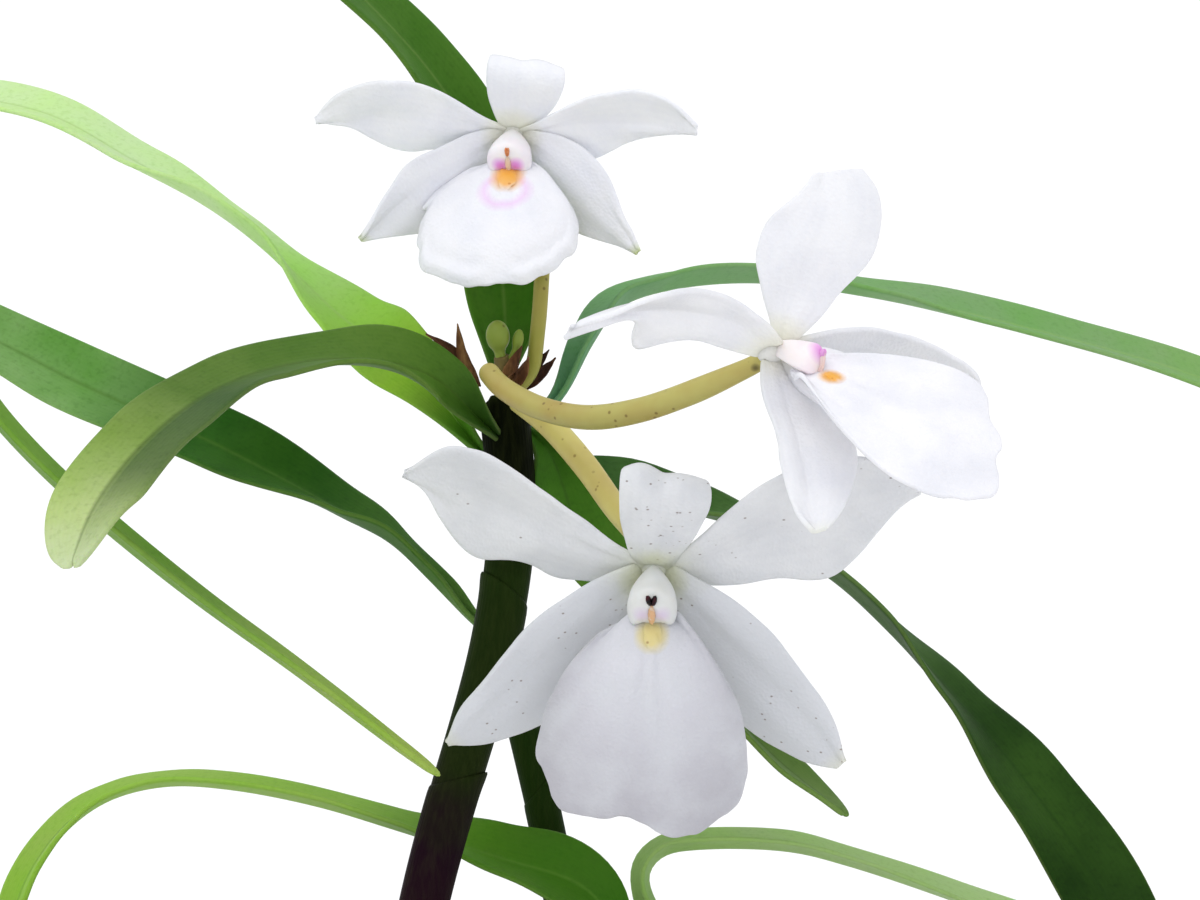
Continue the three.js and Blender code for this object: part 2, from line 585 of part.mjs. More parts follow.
const BRACTS = {
  dry_bracts_left: [
    [[-3.4, 3.8, 244.4], [-4.2, 3.2, 247.4], [-4.9, 2.6, 250.4]],
    [[-3.6, 3.8, 244.6], [-5.6, 3.4, 247.6], [-7.8, 3, 249.4]],
  ],
  dry_bracts_right: [
    [[4.3, 2, 245], [4.7, 1.4, 247.6], [4.6, 0.6, 250.4]],
    [[4.4, 2, 245.2], [5.6, 1.8, 247.2], [6.6, 1.2, 249.4]],
  ],
};
const bractBlade = (route) => blade(leafSurface({ route, width: 1.8 }), 5, 2, TEPAL_THICKNESS);
for (const [name, routes] of Object.entries(BRACTS)) node(name, fuse(routes.map(bractBlade)), BRACT);

// The rhizome lies on the bark from cane to cane, with a cup for each cane's foot and with the roots
const RHIZOME = [[-33, -12, 84.6], [-19, -5, 84.2], [-4, 9, 84], [10, 20, 84.4], [21, 12, 84.2],
  [25, 3, 84], [33, -13, 84.4]];
const RHIZOME_BRANCH = [[-4, 9, 84], [-9, 16, 84.2], [-14, 21, 84.4]];
const RHIZOME_RADIUS = 2.8;
const CUP_HEIGHT = 6.5;
const CUP_WALL = 1.2;
const ROOTS = [
  [[-30, -11, 84], [-30, -20, 85], [-25, -29, 84.5], [-16, -34, 79]],
  [[-33, -12, 84], [-39, -6, 85], [-38, 6, 84], [-31, 14, 78]],
  [[-17, -4, 84], [-12, -13, 85.4], [-3, -19, 84.6], [4, -27, 78]],
  [[-4, 9, 84], [-14, 7, 85.4], [-25, 10, 84.4], [-32, 20, 78]],
  [[8, 19, 84], [2, 28, 85.4], [-8, 32, 84.6], [-17, 34, 79]],
  [[22, 10, 84], [31, 14, 85.2], [37, 9, 84.4], [40, 0, 79]],
  [[25, 2, 84], [15, -3, 85.4], [8, -10, 84.4], [14, -20, 79]],
  [[33, -13, 84], [27, -22, 85], [18, -30, 84], [10, -36, 79]],
];

function rhizomeSolid(extra) {
  const main = stem(RHIZOME, () => RHIZOME_RADIUS, 7, 12, extra);
  const branch = stem(RHIZOME_BRANCH, () => RHIZOME_RADIUS * 0.85, 7, 3, extra);
  const roots = ROOTS.map((route) => stem(route, (t) => mix(1.1, 0.8, t), 5, 5, extra));
  const cups = Object.values(CANES).map(({ route, radius }) => {
    const [x, y] = route[0];
    const top = radius + CUP_WALL + extra;
    const cup = new THREE.CylinderGeometry(top, top + 0.3, CUP_HEIGHT + 2 * extra, 8);
    return cup.rotateX(Math.PI / 2).translate(x, y, BARK_TOP + CUP_HEIGHT / 2 + 1);
  });
  return fuse([main, branch, ...roots, ...cups]);
}

const caneClearance = Object.values(CANES).map((cane) => caneSolid(cane, GAP));
node('rhizome_and_roots', cut(rhizomeSolid(0), caneClearance), ROOT);

// The bark fills the pot: a low dome with chips that stand out of it
const potInside = (z) => mix(POT_FOOT_RADIUS, POT_RIM_RADIUS - 3, z / POT_HEIGHT) - POT_WALL;

function barkSolid() {
  const random = seeded(11);
  const between = (low, high) => low + (high - low) * random();
  const edge = BARK_TOP - 3;
  const profile = [
    [0, POT_FLOOR + GAP], [potInside(POT_FLOOR) - GAP, POT_FLOOR + GAP], [potInside(edge) - GAP, edge],
    [potInside(edge) * 0.8, BARK_TOP - 1], [potInside(edge) * 0.4, BARK_TOP], [0, BARK_TOP + 0.4],
  ].map(([x, y]) => new THREE.Vector2(x, y));
  const dome = new THREE.LatheGeometry(profile, 24).rotateX(Math.PI / 2);
  const chips = [];
  for (let i = 0; i < CHIP_COUNT; i += 1) {
    const reach = (potInside(edge) - 7.5) * Math.sqrt((i + 0.5) / CHIP_COUNT);
    const angle = i * Math.PI * (3 - Math.sqrt(5));
    const chip = new THREE.BoxGeometry(between(9, 14), between(5.5, 8), between(2.8, 4.2));
    chip.rotateX(between(-0.35, 0.35)).rotateY(between(-0.35, 0.35)).rotateZ(between(0, Math.PI));
    const height = BARK_TOP - 1.6 * (reach / potInside(edge)) ** 2 + between(-0.6, 0.8);
    chips.push(chip.translate(reach * Math.cos(angle), reach * Math.sin(angle), height));
  }
  return cut(fuse([dome, ...chips]), [rhizomeSolid(GAP), ...caneClearance]);
}
node('potting_bark', barkSolid(), BARK);

// The clay pot, with four drain holes round the middle of its floor
function potSolid() {
  const bandFoot = POT_HEIGHT - POT_BAND;
  const flare = (z) => mix(POT_FOOT_RADIUS, POT_RIM_RADIUS - 3, z / POT_HEIGHT);
  const profile = [
    [0, 0],
    [POT_FOOT_RADIUS - 1, 0],
    [POT_FOOT_RADIUS, 1],
    [flare(bandFoot), bandFoot],
    [POT_RIM_RADIUS - 0.8, bandFoot + 0.5],
    [POT_RIM_RADIUS, bandFoot + 2],
    [POT_RIM_RADIUS, POT_HEIGHT - 1.5],
    [POT_RIM_RADIUS - 1.5, POT_HEIGHT],
    [flare(POT_HEIGHT) - POT_WALL + 1.5, POT_HEIGHT],
    [flare(POT_HEIGHT) - POT_WALL, POT_HEIGHT - 1.5],
    [flare(POT_FLOOR) - POT_WALL, POT_FLOOR],
    [0, POT_FLOOR],
  ].map(([x, y]) => new THREE.Vector2(x, y));
  const body = new THREE.LatheGeometry(profile, 36);
  body.rotateX(Math.PI / 2);
  const holes = [0, 1, 2, 3].map((i) => {
    const hole = new THREE.CylinderGeometry(4, 4, POT_FLOOR * 4, 12);
    hole.rotateX(Math.PI / 2);
    const angle = rad(45 + 90 * i);
    return hole.translate(18 * Math.cos(angle), 18 * Math.sin(angle), 0);
  });
  return cut(body, holes);
}
node('clay_pot', potSolid(), TERRACOTTA);

export default plant;
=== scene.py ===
# A potted dimerandra orchid, dressed for its picture: leafy canes, three white flowers, bark and a clay pot.
# Lengths in this file are millimetres, turned to metres where a mesh is written. Named angles are degrees.
import math

import bmesh
import bpy
from mathutils import Matrix, Vector, noise


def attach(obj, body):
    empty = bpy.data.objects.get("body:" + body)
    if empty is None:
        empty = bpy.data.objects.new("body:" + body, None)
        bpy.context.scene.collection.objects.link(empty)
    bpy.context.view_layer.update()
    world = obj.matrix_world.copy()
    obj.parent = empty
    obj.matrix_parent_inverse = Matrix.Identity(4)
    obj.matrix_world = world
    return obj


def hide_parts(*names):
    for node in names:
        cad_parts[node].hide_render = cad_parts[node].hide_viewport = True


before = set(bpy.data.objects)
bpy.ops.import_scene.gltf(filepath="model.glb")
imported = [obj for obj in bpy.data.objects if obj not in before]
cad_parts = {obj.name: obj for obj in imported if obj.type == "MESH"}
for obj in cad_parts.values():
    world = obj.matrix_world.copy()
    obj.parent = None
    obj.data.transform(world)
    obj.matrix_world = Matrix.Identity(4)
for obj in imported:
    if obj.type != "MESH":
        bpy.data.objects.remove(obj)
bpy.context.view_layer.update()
MM = 0.001

# Sizes shared with the solids
POT_HEIGHT = 92
POT_FOOT_RADIUS = 36
POT_RIM_RADIUS = 52
POT_BAND = 20
POT_WALL = 4.5
POT_FLOOR = 6
BARK_TOP = 82
LEAF_WIDTH = 9.5

# Sizes of what is finer than the solids
LEAF_THICKNESS = 0.5
TEPAL_THICKNESS = 0.45
SHEATH_THICKNESS = 0.3
BRACT_THICKNESS = 0.15
VEIN_SPACING = 0.5
PETAL_VEINS = 9
# Ribs 0.35 mm apart round a cane 4.5 mm thick
CANE_RIBS = 40


# Numbers and words
def words(name):
    return name.replace("_", " ")


def mix(a, b, t):
    return a + (b - a) * t


def clamp(x):
    return max(0.0, min(1.0, x))


def ease(x, low=0.0, high=1.0):
    k = clamp((x - low) / (high - low))
    return k * k * (3 - 2 * k)


def hill(x, middle, reach):
    """A smooth hill of height 1 over its middle."""
    return math.exp(-(((x - middle) / reach) ** 2))


def along(values, t):
    """The value at t, from 0 to 1, of numbers spread evenly over it."""
    place = clamp(t) * (len(values) - 1)
    i = min(int(place), len(values) - 2)
    return mix(values[i], values[i + 1], ease(place - i))


def curved(values, t):
    """The value at t, from 0 to 1, of a smooth curve through numbers spread evenly over it."""
    last = len(values) - 1
    place = clamp(t) * last
    i = min(int(place), last - 1)
    b, c = values[i], values[i + 1]
    a = values[i - 1] if i > 0 else 2 * b - c
    d = values[i + 2] if i + 2 <= last else 2 * c - b
    k = place - i
    return b + 0.5 * k * (c - a + k * (2 * a - 5 * b + 4 * c - d + k * (3 * (b - c) + d - a)))


def seeded(seed):
    """A function that gives seeded random numbers between two limits."""
    state = [seed]

    def between(low=0.0, high=1.0):
        state[0] = (state[0] * 1664525 + 1013904223) % 4294967296
        return mix(low, high, state[0] / 4294967296)

    return between


class Route:
    """A smooth line through points, measured by its length."""

    STEPS = 300

    def __init__(self, points):
        self.knots = [Vector(p[:3]) for p in points]
        self.line = [self.point(i / self.STEPS) for i in range(self.STEPS + 1)]
        self.reach = [0.0]
        for a, b in zip(self.line, self.line[1:]):
            self.reach.append(self.reach[-1] + (b - a).length)
        self.length = self.reach[-1]

    def point(self, u):
        """The point at u of the line's own parameter, on a centripetal curve through the knots."""
        last = len(self.knots) - 1
        place = clamp(u) * last
        i = min(int(place), last - 1)
        b, c = self.knots[i], self.knots[i + 1]
        a = self.knots[i - 1] if i > 0 else b * 2 - c
        d = self.knots[i + 2] if i + 2 <= last else c * 2 - b
        first, middle, final = (b - a).length ** 0.5, (c - b).length ** 0.5, (d - c).length ** 0.5
        leave = ((b - a) / first - (c - a) / (first + middle) + (c - b) / middle) * middle
        arrive = ((c - b) / middle - (d - b) / (middle + final) + (d - c) / final) * middle
        t = place - i
        return (
            b
            + leave * t
            + (c * 3 - b * 3 - leave * 2 - arrive) * t**2
            + (b * 2 - c * 2 + leave + arrive) * t**3
        )

    def knot_at(self, t):
        """The line's own parameter at t of its length."""
        goal = clamp(t) * self.length
        low, high = 0, self.STEPS
        while high - low > 1:
            half = (low + high) // 2
            if self.reach[half] <= goal:
                low = half
            else:
                high = half
        span = max(self.reach[high] - self.reach[low], 1e-9)
        return (low + (goal - self.reach[low]) / span) / self.STEPS

    def at(self, t):
        return self.point(self.knot_at(t))

    def tangent(self, t):
        return (self.at(min(t + 0.004, 1)) - self.at(max(t - 0.004, 0))).normalized()


# Colour and material nodes
def hue(code):
    """An sRGB hex colour as the linear colour that shaders take."""
    channels = [int(code[i : i + 2], 16) / 255 for i in (0, 2, 4)]
    return (*[c / 12.92 if c <= 0.04045 else ((c + 0.055) / 1.055) ** 2.4 for c in channels], 1.0)


def per(size):
    """The texture scale that gives features of about this many millimetres."""
    return 1000.0 / size


def feed(tree, node, inputs):
    """Gives a node its inputs: values, sockets of other nodes, or nodes for their first output in use."""
    for name, value in inputs.items():
        if isinstance(value, bpy.types.Node):
            value = next(output for output in value.outputs if output.enabled)
        if isinstance(value, bpy.types.NodeSocket):
            tree.links.new(value, node.inputs[name])
        else:
            node.inputs[name].default_value = value


def add(tree, kind, inputs=None, stops=None, **settings):
    """Adds a node with its settings. The stops of a colour ramp are places with hex colours or strengths."""
    node = tree.nodes.new("ShaderNode" + kind)
    for name, value in settings.items():
        setattr(node, name, value)
    feed(tree, node, inputs or {})
    if stops:
        elements = node.color_ramp.elements
        elements[0].position, elements[1].position = stops[0][0], stops[-1][0]
        for place, _ in stops[1:-1]:
            elements.new(place)
        for element, (_, value) in zip(elements, stops):
            element.color = hue(value) if isinstance(value, str) else (value, value, value, 1)
    return node


def new_material(name, roughness, specular):
    """A material with its surface shader, whose even values sit on the shader's own sockets."""
    material = bpy.data.materials.new(name)
    material.use_nodes = True
    tree = material.node_tree
    shader = tree.nodes["Principled BSDF"]
    feed(tree, shader, {"Roughness": roughness, "Specular IOR Level": specular})
    return material, tree, shader


def stain(tree, place, colour, stains):
    """Rings and spots of another colour, each round a centre: (centre, [(distance, strength)], colour)."""
    for centre, reach, tint in stains:
        spot = {0: place.outputs["Object"], 1: Vector(centre) * MM}
        away = add(tree, "VectorMath", spot, operation="DISTANCE")
        last = reach[-1][0]
        scaled = add(tree, "Math", {0: away, 1: 1 / (last * MM)}, operation="MULTIPLY")
        strength = add(tree, "ValToRGB", {0: scaled}, [(distance / last, k) for distance, k in reach])
        colour = add(tree, "Mix", {0: strength, 6: colour, 7: hue(tint)}, data_type="RGBA")
    return colour


def leaf_material(name, stops, rib, mottle, side=None):
    """Living leaf, satin from its waxy skin: clouds and fine veins run along it and it pales at its edge."""
    material, tree, shader = new_material(name, 0.55, 0.08)
    place = add(tree, "TexCoord")
    across = add(tree, "SeparateXYZ", {0: place.outputs["UV"]})
    colour = add(tree, "ValToRGB", {0: across.outputs["Y"]}, stops)
    clouds = add(tree, "TexNoise", {"Vector": place.outputs["Object"], "Scale": per(9), "Detail": 5.0})
    cloudy = add(tree, "MapRange", {0: clouds, 1: 0.35, 2: 0.7, 3: 0.0, 4: 0.75})
    mottled = {0: cloudy, 6: colour, 7: hue(mottle)}
    colour = add(tree, "Mix", mottled, data_type="RGBA", blend_type="SOFT_LIGHT")
    if side:
        # One half of the blade is painted darker between two places of its length, as painted shade
        low, high, tint = side
        places = [(low, 0), (mix(low, high, 0.4), 1), (mix(low, high, 0.7), 1), (high, 0)]
        stretch = add(tree, "ValToRGB", {0: across.outputs["Y"]}, places)
        half = add(tree, "ValToRGB", {0: across.outputs["X"]}, [(0.44, 1), (0.54, 0)])
        both = add(tree, "Math", {0: stretch, 1: half}, operation="MULTIPLY")
        softer = add(tree, "Math", {0: both, 1: 0.75}, operation="MULTIPLY")
        colour = add(tree, "Mix", {0: softer, 6: colour, 7: hue(tint)}, data_type="RGBA")
    from_rib = add(tree, "Math", {0: across.outputs["X"], 1: 0.5}, operation="SUBTRACT")
    reach = add(tree, "Math", {0: from_rib}, operation="ABSOLUTE")
    near_rib = add(tree, "MapRange", {0: reach, 1: 0.0, 2: 0.045, 3: 0.5, 4: 0.0})
    colour = add(tree, "Mix", {0: near_rib, 6: colour, 7: hue(rib)}, data_type="RGBA")
    veins = 2 * math.pi * LEAF_WIDTH / VEIN_SPACING
    turns = add(tree, "Math", {0: across.outputs["X"], 1: veins}, operation="MULTIPLY")
    vein = add(tree, "Math", {0: turns}, operation="SINE")
    strength = add(tree, "MapRange", {0: vein, 1: -1.0, 2: 1.0, 3: 0.0, 4: 0.05})
    veined = {0: strength, 6: colour, 7: hue(rib)}
    colour = add(tree, "Mix", veined, data_type="RGBA", blend_type="SOFT_LIGHT")
    # Freckles of the skin, half a millimetre wide
    cells = add(tree, "TexNoise", {"Vector": place.outputs["Object"], "Scale": per(0.5), "Detail": 4.0})
    freckles = add(tree, "MapRange", {0: cells, 1: 0.5, 2: 0.8, 3: 0.0, 4: 0.28})
    freckled = {0: freckles, 6: colour, 7: hue(mottle)}
    colour = add(tree, "Mix", freckled, data_type="RGBA", blend_type="MULTIPLY")
    edge = add(tree, "MapRange", {0: reach, 1: 0.475, 2: 0.5, 3: 0.0, 4: 0.12})
    colour = add(tree, "Mix", {0: edge, 6: colour, 7: hue("b4c878")}, data_type="RGBA")
    skin = add(tree, "Math", {0: vein, 1: 0.15, 2: cells}, operation="MULTIPLY_ADD")
    bump = add(tree, "Bump", {"Strength": 0.3, "Distance": 0.00006, "Height": skin})
    feed(tree, shader, {
        "Base Color": colour, "Normal": bump,
        "Subsurface Weight": 0.15, "Subsurface Radius": (0.6, 1.0, 0.2), "Subsurface Scale": 0.0008,
    })
    return material


def petal_material(name, white, shade, tip, foot, specks=0, stains=(), tip_from=0.84):
    """Living petal: crystal cells 0.15 mm wide, drawn 0.3 mm to show, make it soft with a sparkle."""
    material, tree, shader = new_material(name, 0.5, 0.35)
    place = add(tree, "TexCoord")
    across = add(tree, "SeparateXYZ", {0: place.outputs["UV"]})
    lengthwise = [(0.0, foot), (0.13, white), (tip_from, white), (1.0, tip)]
    colour = add(tree, "ValToRGB", {0: across.outputs["Y"]}, lengthwise)
    turns = add(tree, "Math", {0: across.outputs["X"], 1: 2 * math.pi * PETAL_VEINS}, operation="MULTIPLY")
    vein = add(tree, "Math", {0: turns}, operation="SINE")
    clouds = add(tree, "TexNoise", {"Vector": place.outputs["Object"], "Scale": per(5), "Detail": 3.0})
    cloudy = add(tree, "Math", {0: vein, 1: 0.02, 2: clouds}, operation="MULTIPLY_ADD")
    shadow = add(tree, "MapRange", {0: cloudy, 1: 0.4, 2: 0.7, 3: 0.0, 4: 0.7})
    colour = add(tree, "Mix", {0: shadow, 6: colour, 7: hue(shade)}, data_type="RGBA")
    if specks:
        # Dark specks 0.2 mm wide, a little longer than wide, that lie in swarms
        drawn = add(tree, "Mapping", {"Vector": place.outputs["Object"], "Scale": (0.8, 1, 1.25)})
        dots = add(tree, "TexVoronoi", {"Vector": drawn, "Scale": per(0.55)})
        swarms = add(tree, "TexNoise", {"Vector": place.outputs["Object"], "Scale": per(3), "Detail": 2.0})
        gathered = add(tree, "MapRange", {0: swarms, 1: 0.3, 2: 0.7, 3: -0.35, 4: 0.35})
        chance = add(tree, "Math", {0: dots.outputs["Color"], 1: gathered}, operation="ADD")
        few = add(tree, "ValToRGB", {0: chance}, [(0.98 - specks, 0), (1 - specks, 1)])
        small = add(tree, "ValToRGB", {0: dots}, [(0.1, 1), (0.24, 0)])
        both = add(tree, "Math", {0: few, 1: small}, operation="MULTIPLY")
        strength = add(tree, "Math", {0: both, 1: 0.75}, operation="MULTIPLY")
        colour = add(tree, "Mix", {0: strength, 6: colour, 7: hue("6b5548")}, data_type="RGBA")
    # Seen edge on, the petal is painted a little greyer: painted shade along its rims
    turned = add(tree, "LayerWeight", {"Blend": 0.35})
    painted_rim_shade = add(tree, "MapRange", {0: turned.outputs["Facing"], 1: 0.45, 2: 1.0, 3: 0.0, 4: 0.7})
    colour = add(tree, "Mix", {0: painted_rim_shade, 6: colour, 7: hue("b8b8bc")}, data_type="RGBA")
    cells = add(tree, "TexVoronoi", {"Vector": place.outputs["Object"], "Scale": per(0.3)})
    folds = add(tree, "Math", {0: vein, 1: 0.06, 2: cells}, operation="MULTIPLY_ADD")
    bump = add(tree, "Bump", {"Strength": 0.5, "Distance": 0.0001, "Height": folds})
    glint = add(tree, "MapRange", {0: cells, 1: 0.0, 2: 0.7, 3: 0.34, 4: 0.62})
    feed(tree, shader, {
        "Base Color": stain(tree, place, colour, stains), "Roughness": glint, "Normal": bump,
        "Subsurface Weight": 0.35, "Subsurface Radius": (1.0, 0.95, 0.9), "Subsurface Scale": 0.0012,
        "Sheen Weight": 0.08,
    })
    return material


def waxy_material(name, colour, tint, roughness, patch, tint_from=0.45, stains=()):
    """Fleshy flower tissue, smooth and waxy, clouded by a second tint."""
    material, tree, shader = new_material(name, roughness, 0.25)
    place = add(tree, "TexCoord")
    clouds = add(tree, "TexNoise", {"Vector": place.outputs["Object"], "Scale": per(patch), "Detail": 3.0})
    cloudy = add(tree, "ValToRGB", {0: clouds}, [(tint_from, colour), (0.7, tint)])
    stained = stain(tree, place, cloudy, stains)
    cells = add(tree, "TexVoronoi", {"Vector": place.outputs["Object"], "Scale": per(0.25)})
    bump = add(tree, "Bump", {"Strength": 0.25, "Distance": 0.00005, "Height": cells})
    feed(tree, shader, {
        "Base Color": stained, "Normal": bump,
        "Subsurface Weight": 0.3, "Subsurface Radius": (1.0, 0.8, 0.7), "Subsurface Scale": 0.001,
    })
    return material


def cane_material(name, levels):
    """Leaf sheaths round a cane, satin and ribbed lengthwise, green above and drying to brown below."""
    material, tree, shader = new_material(name, 0.5, 0.02)
    place = add(tree, "TexCoord")
    height = add(tree, "SeparateXYZ", {0: place.outputs["Object"]})
    low, high = levels[0][0], levels[-1][0]
    rise = add(tree, "MapRange", {0: height.outputs["Z"], 1: low * MM, 2: high * MM, 3: 0.0, 4: 1.0})
    wander = add(tree, "TexNoise", {"Vector": place.outputs["Object"], "Scale": per(6), "Detail": 4.0})
    shifted = add(tree, "Math", {0: wander, 1: 0.08, 2: rise}, operation="MULTIPLY_ADD")
    level = add(tree, "Math", {0: shifted, 1: 0.04}, operation="SUBTRACT")
    colour = add(tree, "ValToRGB", {0: level}, [((z - low) / (high - low), code) for z, code in levels])
    around = add(tree, "SeparateXYZ", {0: place.outputs["UV"]})
    turns = add(tree, "Math", {0: around.outputs["X"], 1: 2 * math.pi * CANE_RIBS}, operation="MULTIPLY")
    rib = add(tree, "Math", {0: turns}, operation="SINE")
    stretched = add(tree, "Mapping", {"Vector": place.outputs["Object"], "Scale": (1, 1, 0.12)})
    fibres = add(tree, "TexNoise", {"Vector": stretched, "Scale": per(0.45), "Detail": 5.0})
    fibre = add(tree, "ValToRGB", {0: fibres}, [(0.42, 0), (0.68, 1)])
    strength = add(tree, "Math", {0: fibre, 1: 0.05}, operation="MULTIPLY")
    streaked = add(tree, "Mix", {0: strength, 6: colour, 7: hue("5c6434")}, data_type="RGBA")
    relief = add(tree, "Math", {0: rib, 1: 0.4, 2: fibres}, operation="MULTIPLY_ADD")
    bump = add(tree, "Bump", {"Strength": 0.25, "Distance": 0.0001, "Height": relief})
    feed(tree, shader, {"Base Color": streaked, "Normal": bump})
    return material


def speckled_material(name, colour, blush, speck, roughness=0.42, density=0.5, stains=()):
    """Living stalk, bud or callus: smooth and waxy with brown specks about 0.3 mm wide."""
    material, tree, shader = new_material(name, roughness, 0.25)
    place = add(tree, "TexCoord")
    clouds = add(tree, "TexNoise", {"Vector": place.outputs["Object"], "Scale": per(5), "Detail": 3.0})
    ground = add(tree, "ValToRGB", {0: clouds}, [(0.38, colour), (0.68, blush)])
    dots = add(tree, "TexVoronoi", {"Vector": place.outputs["Object"], "Scale": per(0.8)})
    few = add(tree, "ValToRGB", {0: dots.outputs["Color"]}, [(1 - density, 0), (1.02 - density, 1)])
    small = add(tree, "ValToRGB", {0: dots}, [(0.12, 1), (0.24, 0)])
    both = add(tree, "Math", {0: few, 1: small}, operation="MULTIPLY")
    strength = add(tree, "Math", {0: both, 1: 0.65}, operation="MULTIPLY")
    stained = stain(tree, place, ground, stains)
    spotted = add(tree, "Mix", {0: strength, 6: stained, 7: hue(speck)}, data_type="RGBA")
    bump = add(tree, "Bump", {"Strength": 0.2, "Distance": 0.0001, "Height": clouds})
    feed(tree, shader, {
        "Base Color": spotted, "Normal": bump,
        "Subsurface Weight": 0.15, "Subsurface Radius": (1.0, 0.8, 0.3), "Subsurface Scale": 0.001,
    })
    return material


def earthy_material(name, colours, patch, grain, roughness, relief, stretch=(1, 1, 1)):
    """Dry rough matter, such as bark, clay or a root's skin: clouds of near colours and a fine grain."""
    material, tree, shader = new_material(name, roughness, 0.25)
    place = add(tree, "TexCoord")
    stretched = add(tree, "Mapping", {"Vector": place.outputs["Object"], "Scale": stretch})
    clouds = add(tree, "TexNoise", {"Vector": stretched, "Scale": per(patch), "Detail": 6.0})
    stops = [(mix(0.34, 0.68, i / (len(colours) - 1)), colour) for i, colour in enumerate(colours)]
    ground = add(tree, "ValToRGB", {0: clouds}, stops)
    grains = add(tree, "TexNoise", {"Vector": stretched, "Scale": per(grain), "Detail": 4.0})
    strength = add(tree, "MapRange", {0: grains, 1: 0.3, 2: 0.7, 3: 0.0, 4: 0.5})
    grained = {0: strength, 6: ground, 7: hue(colours[0])}
    colour = add(tree, "Mix", grained, data_type="RGBA", blend_type="MULTIPLY")
    height = add(tree, "Math", {0: clouds, 1: 2.0, 2: grains}, operation="MULTIPLY_ADD")
    bump = add(tree, "Bump", {"Strength": 0.6, "Distance": relief, "Height": height})
    feed(tree, shader, {"Base Color": colour, "Normal": bump})
    return material


# Modelling
def alone(piece):
    bpy.ops.object.select_all(action="DESELECT")
    piece.select_set(True)
    bpy.context.view_layer.objects.active = piece


def apply(piece, kind, **settings):
    """Adds a modifier with its settings and applies it."""
    alone(piece)
    modifier = piece.modifiers.new(kind.title(), kind)
    for name, value in settings.items():
        setattr(modifier, name, value)
    bpy.ops.object.modifier_apply(modifier=modifier.name)


def round_off(piece):
    apply(piece, "SUBSURF", levels=1, render_levels=1)
    bpy.ops.object.shade_smooth()


def join(name, pieces):
    """Joins pieces into one, which keeps all their finishes."""
    alone(pieces[0])
    for piece in pieces[1:]:
        piece.select_set(True)
    bpy.ops.object.join()
    pieces[0].name = pieces[0].data.name = name
    return pieces[0]


def sheet(rows, columns, surface, finish, thickness):
    """A grid laid on surface(t, s), t from foot to tip and s from 1 to -1, and thickened both ways."""
    bpy.ops.object.select_all(action="DESELECT")
    bpy.ops.mesh.primitive_grid_add(x_subdivisions=columns, y_subdivisions=rows, size=2)
    piece = bpy.context.object
    for vertex in piece.data.vertices:
        vertex.co = surface((vertex.co.y + 1) / 2, -vertex.co.x) * MM
    piece.data.materials.append(finish)
    apply(piece, "SOLIDIFY", thickness=thickness * MM, offset=0)
    round_off(piece)
    return piece


def tube(sides, rings, place, finish, ends="TRIFAN", thickness=None):
    """A cylinder with rings, laid on place(k, angle, out): k from foot to top, out 0 at an end's middle."""
    bpy.ops.object.select_all(action="DESELECT")
    bpy.ops.mesh.primitive_cylinder_add(vertices=sides, radius=1, depth=2, end_fill_type=ends)
    piece = bpy.context.object
    bpy.ops.object.mode_set(mode="EDIT")
    bpy.ops.mesh.select_mode(type="EDGE")
    bpy.ops.mesh.select_all(action="DESELECT")
    mesh = bmesh.from_edit_mesh(piece.data)
    for edge in mesh.edges:
        edge.select_set(abs(edge.verts[0].co.z - edge.verts[1].co.z) > 1)
    bmesh.update_edit_mesh(piece.data)
    bpy.ops.mesh.subdivide(number_cuts=rings - 1)
    bpy.ops.object.mode_set(mode="OBJECT")
    for vertex in piece.data.vertices:
        k = (vertex.co.z + 1) / 2
        out = min(math.hypot(vertex.co.x, vertex.co.y), 1)
        vertex.co = place(k, math.atan2(vertex.co.y, vertex.co.x), out) * MM
    piece.data.materials.append(finish)
    if thickness:
        apply(piece, "SOLIDIFY", thickness=thickness * MM, offset=1)
    round_off(piece)
    return piece


class Spine(Route):
    """A route with a side direction carried along it. Angle 0 is the viewer's right and 90 the back."""

    def __init__(self, points):
        super().__init__(points)
        side = Vector((1, 0, 0)) if abs(self.tangent(0).x) < 0.9 else Vector((0, 0, 1))
        self.sides = []
        for i in range(self.STEPS + 1):
            tangent = self.tangent(i / self.STEPS)
            side = (side - tangent * side.dot(tangent)).normalized()
            self.sides.append(side)

    def around(self, t, angle, radius):
        """The point at radius and angle from the line at t."""
        tangent = self.tangent(t)
        side = self.sides[round(clamp(t) * self.STEPS)]
        front = tangent.cross(side)
        return self.at(t) + (side * math.cos(angle) + front * math.sin(angle)) * radius


def stem(points, radius, sides, rings, finish, rounded=False):
    """A round stem along points, with radius(t, angle) at each place. Rounded ends have closer rings."""
    spine = Spine(points)

    def place(k, angle, out):
        t = 0.5 - 0.5 * math.cos(math.pi * k) if rounded else k
        return spine.around(t, angle, radius(t, angle) * out)

    return tube(sides, rings, place, finish)


def dress(piece, name, nodes):
    """Names a finished piece, gives it its body and hides the solids that it stands for."""
    piece.name = piece.data.name = name
    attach(piece, "root")
    if nodes:
        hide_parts(*nodes)


